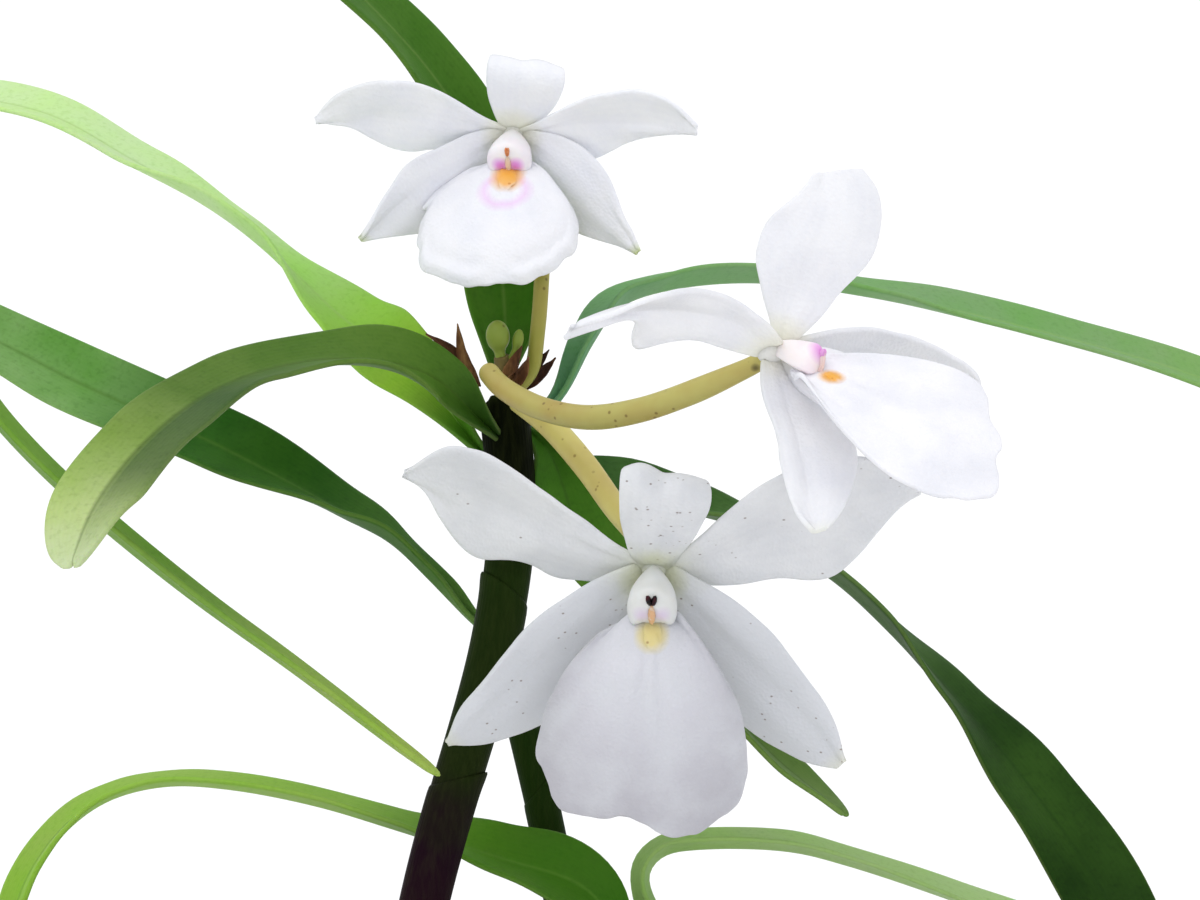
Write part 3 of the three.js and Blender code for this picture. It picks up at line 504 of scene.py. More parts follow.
# Leaves. A route gives x, y and z, and for those in the picture the turn of the upper face round the leaf's
# length, in degrees from facing the front. The others face the sky.
FRONT = Vector((0, -1, 0.14))
SKYWARD = Vector((0, 0, 1))
LEAVES = {
    "leaf_front_left": [
        (-2.8, -0.6, 242, 10), (-7.2, -2, 246, 50), (-14.6, -9, 248.2, 70), (-22.3, -17.2, 247.5, 60),
        (-27.9, -27.7, 244.6, 40), (-31.7, -36.4, 240, 30), (-32.9, -43, 236, 40),
    ],
    "leaf_upper_left": [
        (-3.4, 5.2, 239, 0), (-9.1, 9, 245.4, 0), (-16, 13.4, 249.4, 55), (-24, 18.3, 256.1, 88),
        (-28.8, 20.8, 259.4, 88), (-37, 25.4, 263.5, 70), (-46.1, 30.1, 267.9, 65),
        (-55.4, 34.3, 269.2, 65), (-64.4, 36.2, 268, 60), (-74, 38, 262, 55),
    ],
    "leaf_left": [
        (-4.1, 15.5, 220.4, 40), (-8.2, 16.9, 224.3, 85), (-11.9, 18.4, 227.6, 90),
        (-16.8, 20.7, 229.9, 75), (-28.5, 24.5, 235.6, 45), (-43.9, 29.4, 241.8, 35),
        (-51.9, 32, 245.4, 45), (-63.3, 35.6, 249.5, 50), (-76, 39, 249.4, 55),
    ],
    "leaf_upright": [
        (-0.9, 7.8, 244.6, 0), (-0.8, 10.9, 249.6, 0), (-1.5, 13.4, 255.4, 20), (-3.1, 15, 262.6, 40),
        (-5.1, 14.6, 268.1, 50), (-8, 12.8, 272.7, 55), (-13, 8, 278.6, 60), (-19.1, 2.2, 284.8, 50),
        (-27, -5.3, 289.1, 45), (-36, -12, 289.6, 45),
    ],
    "leaf_upper_right": [
        (4, 4, 242.8, -35), (7.2, 9, 248, -65), (9.9, 15.6, 250.8, -80), (14.8, 19.8, 252, -88),
        (23.5, 25.8, 252.1, -88), (34.5, 30.6, 250.3, -80), (44.2, 34.4, 248, -70), (54.3, 37, 245.3, -70),
        (68.9, 40.4, 240.8, -65), (82.7, 42.6, 234.5, -65), (93, 43.7, 228, -60),
    ],
    "leaf_right": [
        (-0.4, 5.4, 230.6, -10), (4, 11.4, 233.8, -40), (9.6, 13.8, 233.4, -55), (15.4, 13.8, 231.8, -70),
        (22.7, 12.6, 229.6, -85), (29.9, 11, 225.4, -90), (34.4, 10.4, 221.4, -90), (40.7, 7.5, 214.9, -70),
        (47.7, 3.4, 207, -40), (54.2, -2, 197.9, -15), (57, -9.3, 189, -5), (56.5, -18.2, 181, -5),
    ],
    "leaf_short": [
        (3.2, 4.6, 238.6, 0), (6.2, 6.6, 230, -30), (11.9, 7.2, 221.8, -60), (18.6, 6.8, 214.9, -75),
        (24.6, 5.6, 208.9, -75), (30.6, 3.1, 204.6, -85),
    ],
    "leaf_low_left": [
        (11, 6, 190, 0), (6.8, 6, 196.7, 30), (-1.3, 5.4, 199.7, 65), (-10.6, 5.8, 202.6, 88),
        (-18.6, 7.1, 204.7, 90), (-27.1, 9.2, 205.8, 90), (-33, 10.3, 205.8, 90), (-38.2, 10.1, 204.6, 85),
        (-42.2, 9.7, 202, 75), (-45, 8.2, 198.6, 70), (-46.5, 6.8, 195.3, 65), (-47.7, 3.9, 188.5, 60),
    ],
    "leaf_low_right": [
        (14.8, 11.4, 190, -45), (12.4, 12.4, 196.4, -85), (14, 13.4, 198.2, -90), (17.6, 14.3, 198.6, -90),
        (26.2, 16.2, 197.9, -90), (32.1, 18, 196, -90), (43.4, 19.4, 191.8, -85), (52.7, 19.9, 188, -80),
        (61.4, 19.1, 182.8, -75), (68.6, 17.2, 175.6, -70),
    ],
    "leaf_thin": [
        (-60.2, -23, 246.6, -20), (-57, -23.6, 253.6, -60), (-53.2, -23.6, 255.9, -80),
        (-47.7, -24.6, 252.4, -90), (-41.6, -25.7, 244.9, -90), (-37.5, -25.5, 240.4, -90),
        (-32.2, -25.9, 235.7, -90), (-25.5, -25.7, 230.2, -90), (-17.3, -25.5, 224.1, -90),
        (-9, -25.4, 217.7, -90), (-5.6, -25.8, 215.4, -90),
    ],
}
SLIM_LEAVES = ("leaf_short", "leaf_thin")
SLIM_LEAF_WIDTH = 8
LOWER_LEAVES = {
    "flowering_cane_leaf_right": [
        (-8.2, -7.4, 178), (-1, -12, 187), (9, -18, 190), (20, -25, 185), (30, -31, 175), (37, -36, 162),
    ],
    "flowering_cane_leaf_left": [
        (-17.5, -8, 162), (-24, -15, 172), (-32, -24, 177), (-41, -34, 173), (-48, -43, 162),
        (-52, -50, 149),
    ],
    "back_cane_leaf_right": [(10, 18.6, 166), (16, 25, 175), (25, 35, 177), (34, 46, 170), (40, 57, 158)],
    "back_cane_leaf_left": [(6.6, 19, 148), (-2, 27, 158), (-12, 37, 160), (-22, 47, 154), (-29, 57, 143)],
    "left_cane_leaf_top": [
        (-62.6, -18.2, 244), (-67, -14, 254), (-75, -9, 261), (-85, -4, 262), (-95, 0, 256), (-102, 3, 246),
    ],
    "left_cane_leaf_left": [
        (-59.8, -20.8, 224), (-66, -24, 234), (-76, -29, 239), (-88, -34, 235), (-98, -38, 225),
        (-104, -41, 212),
    ],
    "left_cane_leaf_back": [
        (-44.4, -13.6, 176), (-37, -7, 184), (-27, 1, 186), (-18, 9, 180), (-10, 15, 168),
    ],
    "left_cane_leaf_low": [
        (-45, -16.8, 158), (-53, -21, 167), (-65, -27, 168), (-77, -33, 159), (-86, -37, 145),
    ],
    "right_cane_leaf_right": [
        (19.6, 6.8, 166), (27, 8, 176), (39, 10, 180), (52, 12, 174), (63, 14, 162), (70, 16, 148),
    ],
    "right_cane_leaf_front": [
        (18.4, 1.8, 144), (15, -6, 154), (11, -17, 158), (8, -29, 152), (6, -40, 140),
    ],
    "young_shoot_leaf_right": [
        (38.9, -16, 114), (44, -19, 125), (51, -23, 131), (59, -27, 127), (65, -30, 117),
    ],
    "young_shoot_leaf_left": [
        (33.2, -17.4, 117), (29.6, -18.6, 129), (27, -19, 140), (21, -21, 144), (14, -23, 141),
    ],
}

# The fold of a leaf's two halves about the midrib, in degrees, from the foot to the tip, and round the cane
LEAF_FOLD = (26, 20, 16, 14, 12)
LEAF_CLASP = 72
# The foot's share of the leaf's width, the place where the tip starts to round, and the length of a waver
LEAF_FOOT = 0.16
LEAF_TIP = 0.86
LEAF_WAVER = 20
# How far behind its first point a leaf's foot grows from the cane
LEAF_ROOT = 4


def rooted(points):
    """A leaf's points after one more where its foot starts, inside the nearest cane and a little back."""
    first, second = Vector(points[0][:3]), Vector(points[1][:3])
    foot = first + (first - second).normalized() * LEAF_ROOT
    lines = [p for cane in CANES.values() for p in Route(cane["route"]).line]
    nearest = min(lines, key=lambda p: (p - foot).length)
    return [(*nearest, *points[0][3:]), *points]


def leaf_surface(points, width, face, seed):
    """A folded strap leaf: its foot clasps the cane, its edges waver and its tip has two uneven lobes."""
    route = Route(points)
    turns = [math.radians(p[3]) if len(p) > 3 else 0.0 for p in points]
    shift = Vector((seed * 7.3, seed * 3.1, 0))
    stations = {}

    def station(t):
        if t not in stations:
            u = route.knot_at(t)
            tangent = route.tangent(t)
            upper = (face - tangent * face.dot(tangent)).normalized()
            upper = Matrix.Rotation(along(turns, u), 3, tangent) @ upper
            foot = mix(LEAF_FOOT, 1, ease(t, 0, 0.26))
            past = max((t - LEAF_TIP) / (1 - LEAF_TIP), 0)
            tip = math.sqrt(max(1 - past**2, 0.03))
            half = width / 2 * foot * mix(1.03, 0.85, t) * tip
            bend = math.radians(mix(LEAF_CLASP, along(LEAF_FOLD, t), ease(t, 0.02, 0.16)))
            stations[t] = route.point(u), tangent, upper, upper.cross(tangent), half, bend
        return stations[t]

    def surface(t, s):
        centre, tangent, upper, across, half, bend = station(round(t, 5))
        out = math.sqrt(s * s + 0.012) - 0.11
        spot = Vector((t * route.length / LEAF_WAVER, s * 1.2, 0)) + shift
        waver = noise.noise(spot) * 0.35 * s * s * ease(t, 0.1, 0.3)
        lobe = ease(t, 0.9, 1) * (0.3 * (s > 0) - 0.6 * hill(s, 0.1, 0.2))
        point = centre + across * half * s * math.cos(bend) + tangent * lobe
        return point + upper * (half * (out * math.sin(bend) + 0.05 * abs(s) * (1 - abs(s))) + waver)

    return surface


# Finishes of the leaves: colours from foot to tip, rib and mottle. Where one half is painted in shade
# between two places of the length, the last value gives them and the colour of that painted shade.
# The near-black feet of the front left, upper left and upright leaves are painted shadow where they crowd
# the cane's tip
LEAF_FINISHES = {
    "leaf_front_left": (
        [(0.0, "0e1c06"), (0.08, "34541a"), (0.18, "567a2c"), (0.6, "5a7830"), (0.75, "8ca25c"),
         (0.9, "bccb90"), (1.0, "ccd6b4")], "3d5418", "7c9848", (0.36, 1.0, "34502a"),
    ),
    # The pale greens of its outer blade are painted light: light shining through the leaf from behind
    "leaf_upper_left": (
        [(0.0, "1c380c"), (0.08, "4c7c20"), (0.16, "8cb23a"), (0.25, "9cc85c"), (0.34, "acd484"),
         (0.43, "c4e0a8"), (1.0, "cce4ac")], "9cc06c", "a4c870",
    ),
    "leaf_left": (
        [(0.0, "6a8a48"), (0.14, "3f6a1c"), (0.38, "2f5c14"), (0.48, "3f7028"), (0.58, "7ea564"),
         (1.0, "8cb070")], "4c7028", "5c8a34",
    ),
    "leaf_upright": (
        [(0.0, "1c3c0e"), (0.16, "4a7820"), (0.7, "4a7426"), (1.0, "7a9a4c")], "6a8a40", "7fa04e",
    ),
    "leaf_upper_right": (
        [(0.0, "4f7d66"), (0.25, "77a06e"), (0.7, "7ea26a"), (1.0, "93b068")], "8cae62", "9cc084",
    ),
    "leaf_right": (
        [(0.0, "3c6a34"), (0.25, "4a6e34"), (0.38, "587844"), (0.52, "34561c"), (0.75, "27470f"),
         (1.0, "2c4c14")], "1c3a0c", "4a6b28",
    ),
    "leaf_short": (
        [(0.0, "2a5214"), (0.2, "4c7a22"), (0.7, "4c6a24"), (1.0, "6d8a48")], "35561a", "7a9a48",
    ),
    "leaf_low_left": (
        [(0.0, "2f5416"), (0.22, "44701c"), (0.34, "5c8628"), (0.46, "8fb050"), (0.7, "98bc52"),
         (1.0, "86a83e")], "5c8630", "a4c868",
    ),
    "leaf_low_right": (
        [(0.0, "6a8c44"), (0.25, "98b672"), (0.7, "a8c48a"), (1.0, "c4d2ac")], "7c9c58", "b0c88c",
    ),
    "leaf_thin": (
        [(0.0, "4f7d26"), (0.2, "6f9438"), (0.7, "769a40"), (1.0, "a0b458")], "86a84c", "90b460",
    ),
}
LOWER_FINISHES = (
    ([(0.0, "35601c"), (0.2, "4a7826"), (0.8, "527f2a"), (1.0, "8fae50")], "6a9040", "78a24a"),
    ([(0.0, "2f5818"), (0.2, "3f6b20"), (0.8, "456f22"), (1.0, "7a9a44")], "5c8236", "6a9440"),
)


def build_leaves():
    rows, columns = ((56, 12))
    for i, (name, points) in enumerate(LEAVES.items()):
        finish = leaf_material(f"waxy leaf skin {words(name[5:])}", *LEAF_FINISHES[name])
        width = SLIM_LEAF_WIDTH if name in SLIM_LEAVES else LEAF_WIDTH
        surface = leaf_surface(rooted(points), width, FRONT, i + 1)
        piece = sheet(rows, columns, surface, finish, LEAF_THICKNESS)
        dress(piece, f"strap_{name}", [name])
    finishes = [
        leaf_material(f"waxy leaf skin lower {i + 1}", *look) for i, look in enumerate(LOWER_FINISHES)
    ]
    for i, (name, points) in enumerate(LOWER_LEAVES.items()):
        surface = leaf_surface(rooted(points), LEAF_WIDTH, SKYWARD, i + 21)
        piece = sheet(rows * 2 // 3, columns * 2 // 3, surface, finishes[i % 2], LEAF_THICKNESS)
        dress(piece, f"strap_{name}", [name])


# Canes. Each has its radius, its number of sheaths, its route from the rhizome up, and the heights at which
# its colour changes.
CANES = {
    "flowering_cane": {
        "radius": 2.25, "sheaths": 9,
        "route": [
            (-19, -5, 88), (-18.5, -6, 120), (-15, -6.5, 160), (-7.8, -5.8, 199), (-1.4, -0.8, 222),
            (0, 1, 233), (-0.8, 2.4, 244),
        ],
        # The near-black band from 236 to 243 mm is painted shadow under the leaf bases at the cane's top
        "levels": [
            (88, "8a6f4a"), (120, "5a3f2c"), (150, "36211f"), (204, "1c0c16"), (212, "1c260c"),
            (228, "1c2c0c"), (236, "0a0e04"), (243, "0a0e04"), (246, "303c14"),
        ],
    },
    "back_cane": {
        "radius": 1.6, "sheaths": 8,
        "route": [(10, 20, 88), (11, 19, 120), (8.5, 16, 160), (4.2, 13.6, 194), (-1.7, 15.4, 221)],
        "levels": [(88, "8a6f4a"), (120, "6a4f34"), (165, "3a2820"), (192, "1a2a0a"), (222, "1e340e")],
    },
    "left_cane": {
        "radius": 1.8, "sheaths": 9,
        "route": [
            (-33, -12, 88), (-36, -13, 120), (-43, -15.5, 160), (-52, -18.5, 204), (-58, -20, 232),
            (-60.6, -20.3, 246),
        ],
        "levels": [(88, "8a6f4a"), (120, "5f4630"), (170, "46382a"), (205, "4a5a26"), (247, "5c7c30")],
    },
    "right_cane": {
        "radius": 1.8, "sheaths": 6,
        "route": [(25, 3, 88), (24, 3, 110), (19, 5, 150), (13.5, 8.5, 188)],
        "levels": [(88, "8a6f4a"), (120, "5f4a30"), (150, "4c5426"), (189, "54762c")],
    },
    "old_cane": {
        "radius": 1.5, "sheaths": 5,
        "route": [(-14, 21, 88), (-17, 24, 120), (-23, 26, 158)],
        "levels": [(88, "9a7f58"), (120, "8c7048"), (159, "7d6a44")],
    },
    "young_shoot": {
        "radius": 2.1, "sheaths": 3,
        "route": [(33, -13, 88), (35, -14, 100), (36, -15, 120)],
        "levels": [(88, "6a7c3a"), (104, "6c8c38"), (121, "7fa644")],
    },
}


# A cane's girth at its top as a share of that at its foot, the share of its length by which a sheath reaches
# into the one below, and the slant of a sheath's mouth
CANE_TAPER = 0.86
SHEATH_OVERLAP = 0.03
SHEATH_SLANT = 1.3


def cane_piece(name, cane, finish):
    """A cane in its overlapping leaf sheaths, each a sleeve with a slanting, slightly flared mouth."""
    spine = Spine(cane["route"])
    count, radius = cane["sheaths"], cane["radius"]

    def girth(t):
        return radius * mix(1, CANE_TAPER, t)

    sleeves = [stem(cane["route"], lambda t, angle: girth(t) * 0.9, 20, 40, finish)]
    step = 1 / count
    for i in range(count):
        foot = max(i * step - SHEATH_OVERLAP, 0)
        reach = (i + 1) * step - foot
        lean = math.pi * (i % 2) + 0.4 * math.sin(i * 2.1)

        def place(k, angle, out, foot=foot, reach=reach, lean=lean):
            slant = SHEATH_SLANT * math.cos(angle - lean) / spine.length
            t = foot + reach * k + slant * ease(k, 0.4, 1)
            swell = mix(0.93, 1.03, k) + 0.05 * ease(k, 0.93, 1) * (1 + math.cos(angle - lean))
            return spine.around(min(t, 1), angle, girth(t) * swell)

        sleeves.append(tube(28, 14, place, finish, ends="NOTHING", thickness=SHEATH_THICKNESS))
    return join(name, sleeves)


def build_canes():
    for name, cane in CANES.items():
        finish = cane_material(f"ribbed sheath {words(name)}", cane["levels"])
        dress(cane_piece(name, cane, finish), f"sheathed_{name}", [name])


# Flower stalks. Their ends are rounded over a share of their length, and three low ridges run along them.
STALK_ROUNDING = 0.02
STALK_RIDGE = 0.035
STALKS = {
    "stalk_top": {
        "route": [
            (0.2, 1.9, 244.4), (1.7, 2.3, 246), (2.4, 2.2, 250), (2.8, 3.4, 255.5), (3, 9.8, 259.7),
            (2.6, 13.2, 264), (1.4, 13.6, 267), (0.3, 12.2, 268.9), (0.1, 9.6, 267.6),
        ],
        "radius": (0.7, 0.7, 0.75, 0.8), "colours": ("949640", "a49a4c", "5a4522"),
    },
    "stalk_right": {
        "route": [
            (-2.2, -2.8, 246.9), (-0.6, -6, 245.6), (2.6, -9.6, 244.3), (7, -14.2, 244), (11.2, -17.4, 245),
            (15.4, -20.2, 246.8), (19.2, -22.8, 248.8), (20.8, -23.8, 249.7), (22.1, -24.6, 250.6),
        ],
        "radius": (0.95, 1.05, 1.1, 1.05, 0.75), "colours": ("b8b066", "b09c58", "664826"),
        "stains": [((20.7, -24.9, 249.3), [(0.0, 1.0), (0.35, 0.85), (0.65, 0.0)], "241408")],
    },
    "stalk_front": {
        "route": [
            (0.3, -1.4, 244.2), (3.5, -4, 242), (6.7, -7.8, 238.9), (9.2, -12, 236), (11.6, -17, 233.8),
            (12.4, -20.4, 232.6),
        ],
        "radius": (1.1, 1.15, 1.1, 1), "colours": ("d0c474", "c4b068", "7c5c2c"),
    },
}


def build_stalks():
    for name, stalk in STALKS.items():
        stains = stalk.get("stains", ())
        finish = speckled_material(f"speckled {words(name)}", *stalk["colours"], stains=stains)
        radii = stalk["radius"]

        def radius(t, angle, radii=radii):
            rounded = math.sqrt(clamp(min(t, 1 - t) / STALK_ROUNDING))
            ridge = 1 + STALK_RIDGE * math.cos(3 * angle) * ease(t, 0.4, 0.9)
            return along(radii, t) * rounded * ridge

        piece = stem(stalk["route"], radius, 20, 60, finish, rounded=True)
        dress(piece, f"pedicel_{name}", [name])


# Blooms. Each stands at its own place and is turned: heading to the right of the front and tip up, in
# degrees. Inside a bloom X is the viewer's right, Y the way of the top sepal and Z the way it faces.
class Stance:
    def __init__(self, at, heading, tip, size):
        h, p = math.radians(heading), math.radians(tip)
        self.at = Vector(at)
        self.facing = Vector((math.sin(h) * math.cos(p), -math.cos(h) * math.cos(p), math.sin(p)))
        self.up = (Vector((0, 0, 1)) - self.facing * self.facing.z).normalized()
        self.right = self.up.cross(self.facing)
        self.size = size

    def place(self, local):
        turned = self.right * local[0] + self.up * local[1] + self.facing * local[2]
        return self.at + turned * self.size


TEPAL = {"sweep": 0, "curl": 0, "bend_at": 0.5, "bend_over": 0.5, "roll": 0, "twist": 0, "crest": 0}
DORSAL = {
    **TEPAL, "turn": 84, "length": 18, "lift": 8, "curl": -150, "bend_at": 0.56, "bend_over": 0.18,
    "cup": -0.1,
    "left": (1.6, 2.4, 2.9, 3.3, 3.5, 3.6, 3.6, 3.2, 2.6, 1.7, 0.3),
    "right": (1.6, 2.2, 2.9, 3.45, 3.85, 4.0, 3.9, 3.4, 2.7, 1.7, 0.3),
}
LATERAL = {**TEPAL, "length": 22, "lift": 30, "cup": -0.12}
PETAL = {**TEPAL, "length": 22, "cup": 0.08}
LIP = {
    "reach": 21.5, "spread": 55, "lift": 82, "curl": -50, "drop": 0.7, "start": (-1.6, 2), "roll": 0,
    "tuck": 0, "rim": 0,
}
# Straight steps in the midline of a tepal and of a lip, the distance of a tepal's foot from the bloom's
# middle, the length of the lip's claw as a share of its reach, and the half axes of the lump that the tepals
# grow from
MIDLINE_STEPS = 40
TEPAL_START = 0.6
LIP_CLAW = 0.06
HUB = (1.3, 1.3, 1.2)

# Each tepal's half widths, left and right of its midline seen from its foot, at every tenth of its length. A
# lip's reach from its claw, at even steps of its spread from the left to the right.
BLOOMS = {
    "front_bloom": {
        "stance": ((12.5, -21.4, 231.9), -3, -32, 1),
        "dorsal": {**DORSAL, "length": 17.4, "crest": 0.6},
        "petals": [
            {
                **PETAL, "turn": 155, "sweep": 4, "lift": -5,
                "left": (1.2, 2.6, 3.7, 4.5, 4.3, 4.4, 5.25, 4.6, 3.0, 1.0, 0.1),
                "right": (0.9, 1.0, 1.5, 2.25, 3.1, 4.0, 4.85, 5.5, 5.55, 4.5, 0.3),
            },
            {
                **PETAL, "turn": 18, "sweep": 2, "lift": -5, "length": 22.8,
                "left": (0.6, 1.3, 2.6, 4.0, 5.2, 6.15, 6.6, 6.5, 5.9, 4.5, 1.0),
                "right": (1.2, 2.5, 3.3, 3.75, 4.3, 5.5, 5.7, 4.5, 2.7, 1.1, 0.4),
            },
        ],
        "laterals": [
            {
                **LATERAL, "turn": 209.5,
                "left": (1.5, 2.4, 3.3, 4.1, 4.8, 5.2, 5.3, 4.95, 4.0, 2.8, 0.3),
                "right": (1.5, 2.3, 3.0, 3.4, 3.6, 3.45, 3.05, 2.55, 2.05, 1.4, 0.2),
            },
            {
                **LATERAL, "turn": -35.5,
                "left": (1.5, 2.2, 2.95, 3.5, 3.75, 3.7, 3.4, 3.1, 2.65, 1.8, 0.3),
                "right": (1.5, 2.4, 3.3, 4.1, 4.7, 5.1, 5.1, 4.75, 4.0, 3.0, 0.8),
            },
        ],
        "lip": {
            **LIP, "frill": 0.028,
            "margin": (5, 9, 12, 14.6, 17.4, 18.5, 20.4, 20.3, 19.9, 19.4, 20, 21, 21.1, 20.4, 19.7, 17.4,
                       14.2, 11, 7, 4.2, 2.6),
        },
    },
    "top_bloom": {
        "stance": ((0.1, 8.8, 267.1), -7, -32, 0.86),
        "dorsal": {
            **DORSAL, "turn": 80, "bend_at": 0.47,
            "left": (1.4, 2.3, 3.0, 3.4, 3.6, 3.6, 3.4, 3.0, 2.4, 1.6, 0.3),
            "right": (1.5, 2.8, 3.9, 4.5, 4.75, 4.6, 4.2, 3.6, 2.8, 1.8, 0.3),
        },
        "petals": [
            {
                **PETAL, "turn": 150, "sweep": 30, "lift": 15, "length": 21,
                "left": (1.0, 2.2, 3.1, 3.7, 4.2, 4.4, 4.0, 3.1, 1.7, 0.9, 0.3),
                "right": (0.6, 0.8, 1.5, 2.4, 3.4, 4.35, 4.75, 4.65, 4.0, 2.7, 0.2),
            },
            {
                **PETAL, "turn": 26, "sweep": -30, "lift": 15, "length": 21,
                "left": (0.4, 0.7, 1.25, 2.05, 3.0, 3.8, 4.3, 4.55, 4.3, 3.3, 1.0),
                "right": (1.2, 2.6, 3.9, 4.6, 4.5, 3.6, 2.6, 1.75, 1.0, 0.45, 0.1),
            },
        ],
        "laterals": [
            {
                **LATERAL, "turn": 190, "sweep": 24, "lift": 33, "length": 19.5,
                "left": (1.2, 2.2, 3.2, 4.2, 5.0, 5.5, 5.3, 4.5, 3.2, 1.7, 0.3),
                "right": (1.2, 1.8, 2.2, 2.5, 2.8, 3.1, 2.8, 2.15, 1.5, 0.7, 0.1),
            },
            {
                **LATERAL, "turn": -18, "sweep": -24, "lift": 33, "length": 18.5,
                "left": (1.2, 2.0, 2.8, 3.4, 3.75, 3.7, 3.1, 2.2, 1.4, 0.95, 0.1),
                "right": (1.2, 2.3, 3.4, 4.4, 5.2, 5.5, 5.1, 4.1, 2.9, 1.6, 0.3),
            },
        ],
        "lip": {
            **LIP, "reach": 19, "spread": 72, "lift": 95, "curl": -40, "tuck": 0.35, "rim": 0.35,
            "frill": 0.055,
            "margin": (6.5, 9.4, 10.6, 11.4, 13.4, 15.4, 17.4, 18.1, 18.3, 18.4, 17.5, 18.2, 17.4, 16.6,
                       15.2, 13, 10.6, 7.2, 4.4, 2.6, 1.6),
        },
    },
    "right_bloom": {
        "stance": ((22.4, -24.9, 250.9), 50, -15, 0.95),
        "dorsal": {
            **DORSAL, "turn": 80, "length": 15.7, "lift": 2, "curl": -35, "bend_at": 0.85, "roll": -45,
            "left": (0.5, 1.2, 2.4, 3.4, 4.3, 4.6, 4.5, 4.0, 3.2, 2.3, 1.2),
            "right": (0.9, 1.9, 2.7, 3.3, 3.85, 4.6, 5.2, 5.35, 5.1, 4.5, 3.2),
        },
        "petals": [
            {
                **PETAL, "turn": 150, "sweep": 50, "lift": -12, "length": 23, "roll": -46,
                "left": (1.6, 2.5, 2.8, 3.2, 4.3, 6.4, 4.7, 1.0, 0.2, 1.3, 2.1),
                "right": (1.2, 1.8, 2.3, 2.9, 3.5, 4.1, 4.7, 4.9, 4.5, 2.5, -0.6),
            },
            {
                **PETAL, "turn": 4, "sweep": -28, "lift": 20, "roll": 15, "twist": 50,
                "left": (0.8, 1.8, 2.7, 3.4, 3.85, 4.2, 4.2, 4.1, 4.0, 3.2, 1.4),
                "right": (0.8, 1.8, 2.7, 3.4, 3.9, 4.2, 4.2, 3.9, 3.2, 2.0, 0.5),
            },
        ],
        "laterals": [
            {
                **LATERAL, "turn": 260, "sweep": -30, "lift": 44.5, "length": 17, "roll": 20, "twist": 50,
                "left": (1.5, 2.8, 3.9, 4.7, 5.15, 5.3, 5.0, 4.3, 3.4, 2.3, 0.8),
                "right": (1.2, 1.9, 2.1, 2.0, 1.8, 1.8, 2.0, 2.0, 1.9, 1.5, 0.6),
            },
            {
                **LATERAL, "turn": -25, "lift": 72, "length": 13,
                "left": (1.2, 1.6, 2.0, 2.3, 2.5, 2.6, 2.5, 2.2, 1.7, 1.1, 0.3),
                "right": (1.2, 1.6, 2.0, 2.3, 2.5, 2.6, 2.5, 2.2, 1.7, 1.1, 0.3),
            },
        ],
        "lip": {
            **LIP, "spread": 75, "lift": 92, "curl": -25, "start": (-0.4, 2.6), "drop": 0.22, "roll": 22,
            "frill": 0.055,
            "margin": (1.3, 1.4, 1.5, 1.7, 2.2, 3.6, 9.8, 15.7, 19.1, 21.5, 22, 19.9, 19.4, 17.2, 16.5, 14.9,
                       10.6, 4.5, 3, 2.2, 1.8),
        },
    },
}


def tepal_surface(spec, stance, seed):
    """A sepal or petal, from a narrow foot at the bloom's middle to its tip, softly waved."""
    turn, lift = math.radians(spec["turn"]), math.radians(spec["lift"])
    shift = Vector((seed * 5.7, seed * 2.9, 0))

    def heading(t):
        bend = ease(t, spec["bend_at"] - spec["bend_over"], spec["bend_at"] + spec["bend_over"])
        e = lift + math.radians(spec["curl"]) * bend
        a = turn + math.radians(spec["sweep"]) * t
        ahead = Vector((math.cos(e) * math.cos(a), math.cos(e) * math.sin(a), math.sin(e)))
        upper = Vector((-math.sin(e) * math.cos(a), -math.sin(e) * math.sin(a), math.cos(e)))
        roll = math.radians(spec["roll"] + spec["twist"] * t)
        return ahead, Matrix.Rotation(roll, 3, ahead) @ upper

    line = [Vector((math.cos(turn) * TEPAL_START, math.sin(turn) * TEPAL_START, 0))]
    for i in range(MIDLINE_STEPS):
        ahead = heading((i + 0.5) / MIDLINE_STEPS)[0]
        line.append(line[-1] + ahead * spec["length"] / MIDLINE_STEPS)
    stations = {}

    def station(k):
        if k not in stations:
            t = 1 - (1 - k) ** 1.5
            ahead, upper = heading(t)
            i = min(int(t * MIDLINE_STEPS), MIDLINE_STEPS - 1)
            centre = line[i].lerp(line[i + 1], t * MIDLINE_STEPS - i)
            halves = curved(spec["left"], t), curved(spec["right"], t)
            stations[k] = t, centre, upper, upper.cross(ahead), halves
        return stations[k]

    def surface(k, s):
        t, centre, upper, across, halves = station(round(k, 5))
        half = halves[s <= 0]
        waver = noise.noise(Vector((t * 3, s * 1.2, 0)) + shift) * 0.5 * ease(t, 0.05, 0.3)
        edge = noise.noise(Vector((t * 8, s * 2 + 5, 1)) + shift) * 0.3 * abs(s) ** 3
        keel = -0.2 * hill(s, 0, 0.2) * ease(t, 0, 0.15) * (1 - ease(t, 0.6, 0.9))
        height = spec["cup"] * half * s * s + keel + waver + edge
        crest = hill(s, 0.65, 0.28) - 0.5 * hill(s, 0.1, 0.2) - hill(s, -1, 0.6)
        crest *= spec["crest"] * hill(t, 0.6, 0.2)
        return stance.place(centre + across * half * s + upper * height + Vector((0, crest, 0)))

    return surface


